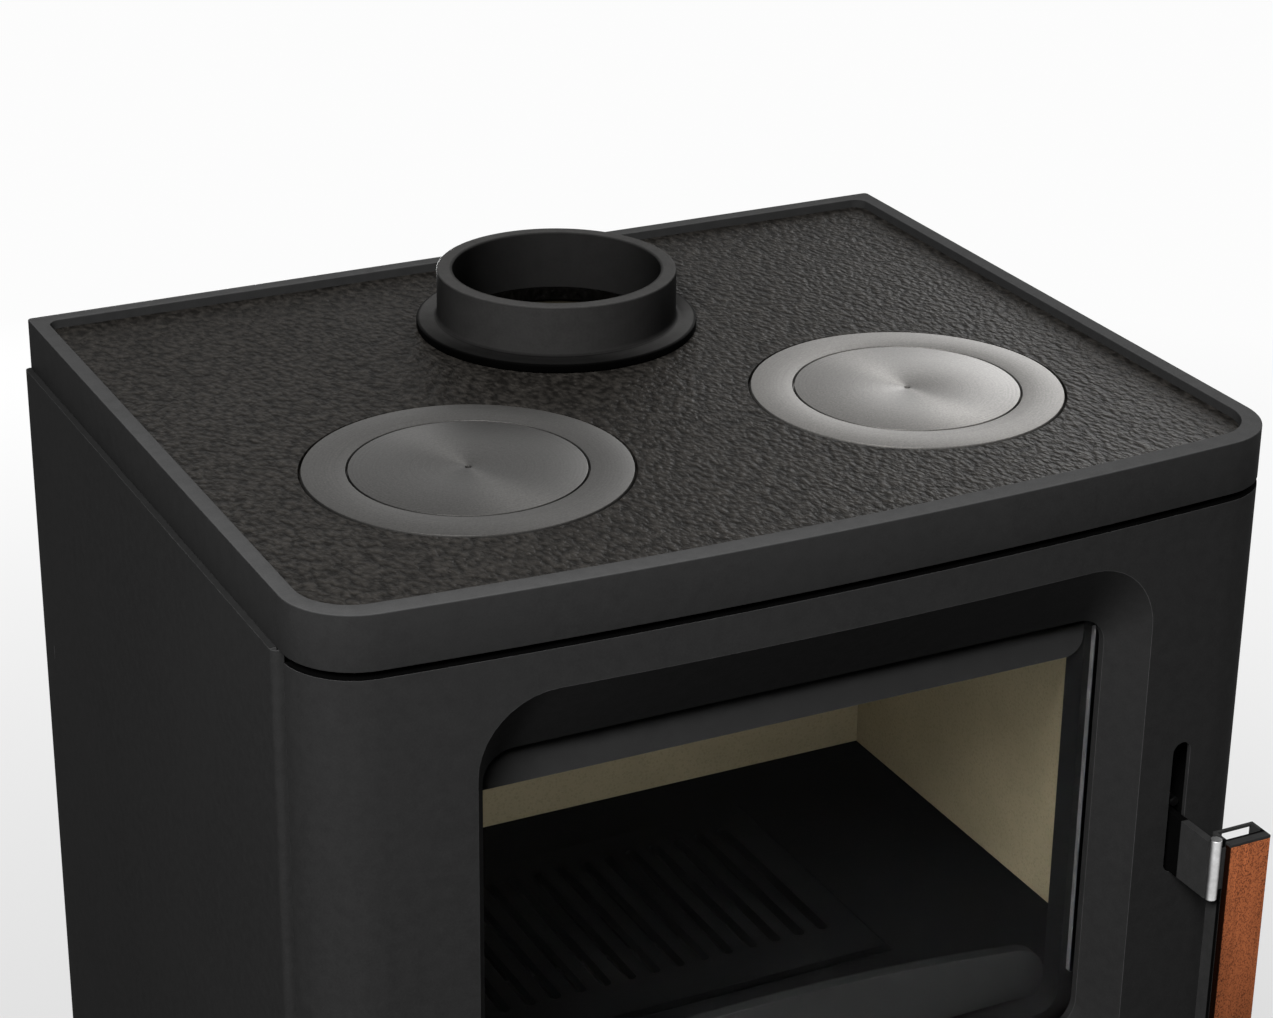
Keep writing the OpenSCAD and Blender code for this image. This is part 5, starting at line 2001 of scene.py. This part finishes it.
@dataclass
class DrawerFront(BowedFront):
    """A drawer's bowed front with a finger notch in its top edge.

    Args:
        node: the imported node.
        body: the body that it rides on.
        notch: half the notch's width.
        notch_deep: the notch's depth.
        notch_round: the radius of the notch's lower corners.
        air_slot: the air knob's slot as reach, level and radius, or nothing.
        round_share: the slot's corner radius as a share of its half height.
    """

    node: str = ""
    body: Body = Body.LOGS
    notch: float = 0.060
    notch_deep: float = 0.014
    notch_round: float = 0.007
    air_slot: Point | None = None
    round_share: float = 0.99

    def build(self) -> None:
        """Makes the front and cuts its notch and slot."""
        bm = bmesh.new()
        self.fill_bow(bm, self.outline(bm))
        self.wrap_round(bm)
        self.face_out(bm)
        piece = new_object(bm, self.node + "_piece")
        sheet_modifiers(piece, self.wall)
        deep = self.notch_deep
        notch = (self.notch, self.high - deep, self.high + deep, self.notch_round)
        cut_through(piece, self.slot_cutter(notch))
        if self.air_slot:
            reach, level, radius = self.air_slot
            half = reach / 2
            slot = (half + radius, level - radius, level + radius, radius * self.round_share)
            cut_through(piece, self.slot_cutter(slot, half))
        bevel_modifier(piece, self.edge, 3, self.sharp)
        set_piece(piece, Place(self.body, "casing", (self.node,)), DOOR_PAINT)

    def fill_bow(self, bm: Mesh, loop: list[Edge]) -> None:
        """Fills the outline with upright strips that follow the bow.

        Args:
            bm: the mesh.
            loop: the outline's edges.
        """
        ends = [
            [e for e in loop if all(abs(v.co.z - level) < MERGED for v in e.verts)]
            for level in (self.high, self.low)
        ]
        level_edges = ends[0] + ends[1]
        sides = [e for e in loop if e not in level_edges]
        bmesh.ops.delete(bm, geom=sides, context="EDGES")
        bmesh.ops.bridge_loops(bm, edges=level_edges)


@dataclass
class Studio:
    """Camera, lamps, world and floor.

    Args:
        camera: the camera's place.
        right: the picture's right in the frame's axes.
        down: the picture's downward direction.
        ahead: the way that the camera looks.
        lens: focal length in millimetres.
        sensor: the sensor's width in millimetres.
        reach: how far the camera sees.
        aim: where the lamps look.
        floor: half the floor's width.
        shadow_near: distance up to which the floor keeps the most shadow.
        shadow_far: distance from which it keeps none.
        shadow_share: the floor's share of plain white beside the stove.
        white: level of the floor's white.
        lit: level of the world as the stove sees it.
    """

    camera: Point = (-0.7891, -1.5609, 1.5366)
    right: Point = (0.8947, -0.44653, 0.0111)
    down: Point = (-0.17159, -0.36654, -0.91444)
    ahead: Point = (0.4124, 0.81624, -0.40457)
    lens: float = 88.72
    sensor: float = 36.0
    reach: float = 60.0
    aim: Point = (0.0, 0.0, 0.45)
    floor: float = 9.0
    shadow_near: float = 0.8
    shadow_far: float = 2.5
    shadow_share: float = 0.62
    white: float = 0.975
    lit: float = 0.03

    def build(self) -> None:
        """Sets the whole studio."""
        self.set_camera()
        self.set_world()
        self.set_floor()
        for lamp in (
            ("key", (-1.365, -1.585, 2.364), 0.9, 92.0), ("top", (0.1, 0.2, 3.0), 2.0, 4.0),
            ("fill", (2.8, -0.6, 1.7), 1.8, 7.0), ("back", (2.2, 1.7, 1.75), 1.4, 34.0),
            ("rear", (0.6, 3.0, 0.4), 0.7, 90.0), ("flank", (3.2, 0.3, 0.4), 0.7, 60.0),
        ):
            self.set_lamp(*lamp)
        bpy.context.scene.view_settings.view_transform = "Standard"

    def set_camera(self) -> None:
        """Places the camera where the photograph was taken from."""
        data = bpy.data.cameras.new("camera")
        data.lens = self.lens
        data.sensor_width = self.sensor
        data.sensor_fit = "HORIZONTAL"
        data.clip_end = self.reach
        made = bpy.data.objects.new("camera", data)
        bpy.context.scene.collection.objects.link(made)
        axes = (Vector(self.right), -Vector(self.down), -Vector(self.ahead))
        turn = Matrix(axes).transposed().to_4x4()
        made.matrix_world = Matrix.Translation(self.camera) @ turn
        bpy.context.scene.camera = made

    def set_lamp(self, name: str, place: Point, size: float, power: float) -> None:
        """Adds a soft square lamp that looks at the stove's middle.

        Args:
            name: the lamp's name.
            place: where it stands.
            size: its width.
            power: its power in watts.
        """
        data = bpy.data.lights.new(name, "AREA")
        data.shape = "SQUARE"
        data.size = size
        data.energy = power
        made = bpy.data.objects.new(name, data)
        made.visible_camera = False
        bpy.context.scene.collection.objects.link(made)
        ahead = Vector(self.aim) - Vector(place)
        turn = ahead.to_track_quat("-Z", "Y").to_matrix().to_4x4()
        made.matrix_world = Matrix.Translation(place) @ turn

    def seen(self, sheet: Sheet) -> Socket:
        """One where a ray comes from the camera, a gloss or glass, otherwise nought.

        Args:
            sheet: the node tree.

        Returns:
            The value.
        """
        path = sheet.add("ShaderNodeLightPath").outputs
        straight = sheet.maths("MAXIMUM", path["Is Camera Ray"], path["Is Glossy Ray"])
        return sheet.maths("MAXIMUM", straight, path["Is Transmission Ray"])

    def set_world(self) -> None:
        """Makes a world that looks white and lights softly."""
        world = bpy.data.worlds.new("studio")
        world.use_nodes = True
        world.node_tree.nodes.clear()
        bpy.context.scene.world = world
        sheet = Sheet(world.node_tree)
        level = sheet.spread(self.seen(sheet), 0.0, 1.0, self.lit, 1.0)
        inputs = {"Color": grey(1.0), "Strength": level}
        back = sheet.run("ShaderNodeBackground", inputs, "Background")
        sheet.join(back, sheet.add("ShaderNodeOutputWorld").inputs["Surface"])

    def set_floor(self) -> None:
        """Makes a plain pale floor that keeps the stove's shadow."""
        bm = bmesh.new()
        bmesh.ops.create_grid(bm, x_segments=1, y_segments=1, size=self.floor)
        floor = new_object(bm, "studio_floor")
        made = bpy.data.materials.new("studio floor")
        made.use_nodes = True
        made.node_tree.nodes.clear()
        sheet = Sheet(made.node_tree)
        seen = self.seen(sheet)
        tone = sheet.blend(seen, grey(0.1), grey(0.4))
        pale = sheet.run("ShaderNodeBsdfDiffuse", {"Color": tone}, "BSDF")
        glow = sheet.run("ShaderNodeEmission", {"Color": grey(self.white)}, "Emission")
        away = sheet.length(sheet.place())
        share = sheet.spread(away, self.shadow_near, self.shadow_far, self.shadow_share, 1.0)
        inputs = {0: sheet.times(seen, share), 1: pale, 2: glow}
        mixed = sheet.run("ShaderNodeMixShader", inputs, "Shader")
        sheet.join(mixed, sheet.add("ShaderNodeOutputMaterial").inputs["Surface"])
        floor.data.materials.append(made)


# Steel of the left hotplate, darker as a painted reflection of the dark, and of the right one,
# lighter as a painted reflection of the bright
LEFT_STEEL: Colour = (0.073, 0.071, 0.068, 1.0)
RIGHT_STEEL: Colour = (0.152, 0.147, 0.14, 1.0)
# The air knob's slot in the ash front as reach, level and radius
AIR_SLOT: Point = (0.012, 0.34185, 0.0034)
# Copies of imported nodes: the body, the slot, the finish and the nodes, in order
COPIES: tuple[tuple[Body, str, Finish, tuple[str, ...]], ...] = (
    (Body.CARCASS, "casing", INNER, (
        "plinth", "carcass_left", "carcass_right", "carcass_back", "carcass_bottom",
        "front_frame", "middle_shelf", "ash_chamber",
    )),
    (Body.CARCASS, "firebox_iron", FIREBOX_IRON, ("firebox_base",)),
    (Body.CARCASS, "casing", CASING, ("rear_panel",)),
    (Body.CARCASS, "casing", INNER, ("rear_stays", "side_spacers")),
    (Body.CARCASS, "plain_steel", STEEL, ("collar_bolts",)),
    (Body.CARCASS, "firebox_iron", GRATE_IRON, ("floor_casting",)),
    (Body.CARCASS, "board", BOARD, ("lining_left", "lining_right", "lining_back")),
    (Body.CARCASS, "board", SHADED_BOARD, ("baffle_board",)),
    (Body.CARCASS, "firebox_iron", FIREBOX_IRON, ("baffle_ledges",)),
    (Body.CARCASS, "plain_steel", STEEL, (
        "latch_keeper", "keeper_pin", "hinge_brackets", "log_rails",
    )),
    (Body.GRATE, "firebox_iron", GRATE_IRON, ("grate_tile",)),
    (Body.GUARD, "firebox_iron", GUARD_IRON, ("log_guard",)),
    (Body.ROLLER, "plain_steel", STEEL, ("keeper_roller",)),
    (Body.LEVER, "casing", LEVER_PAINT, ("lever_plate",)),
    (Body.LEVER, "chrome", CHROME, ("lever_barrel",)),
    (Body.LEVER, "casing", HANDLE_PAINT, ("handle_channel",)),
    (Body.LEVER, "handle_wood", WOOD, ("handle_inlay",)),
    (Body.ASH, "casing", INNER, ("ash_liner", "ash_tray")),
    (Body.BIN, "plain_steel", ZINC, ("ash_pan",)),
    (Body.AIR, "plain_steel", STEEL, ("air_shutter",)),
    (Body.LOGS, "casing", INNER, ("log_box",)),
)


def main() -> None:
    """Builds the sub-assemblies in order, then the studio."""
    HobTop().build()
    Hotplate(Hand.LEFT, LEFT_STEEL).build()
    Hotplate(Hand.RIGHT, RIGHT_STEEL).build()
    FlueCollar().build()
    for hand in Hand:
        SidePanel(hand).build()
    low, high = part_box("door_casting")
    FireDoor(low.z, high.z).build()
    for node, body, slot in (("ash_front", Body.ASH, AIR_SLOT), ("log_front", Body.LOGS, None)):
        low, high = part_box(node)
        DrawerFront(low.z, high.z, node=node, body=body, air_slot=slot).build()
    for body, slot, finish, nodes in COPIES:
        for node in nodes:
            copied(node, body, slot, finish)
    Studio().build()


if __name__ == "__main__":
    main()
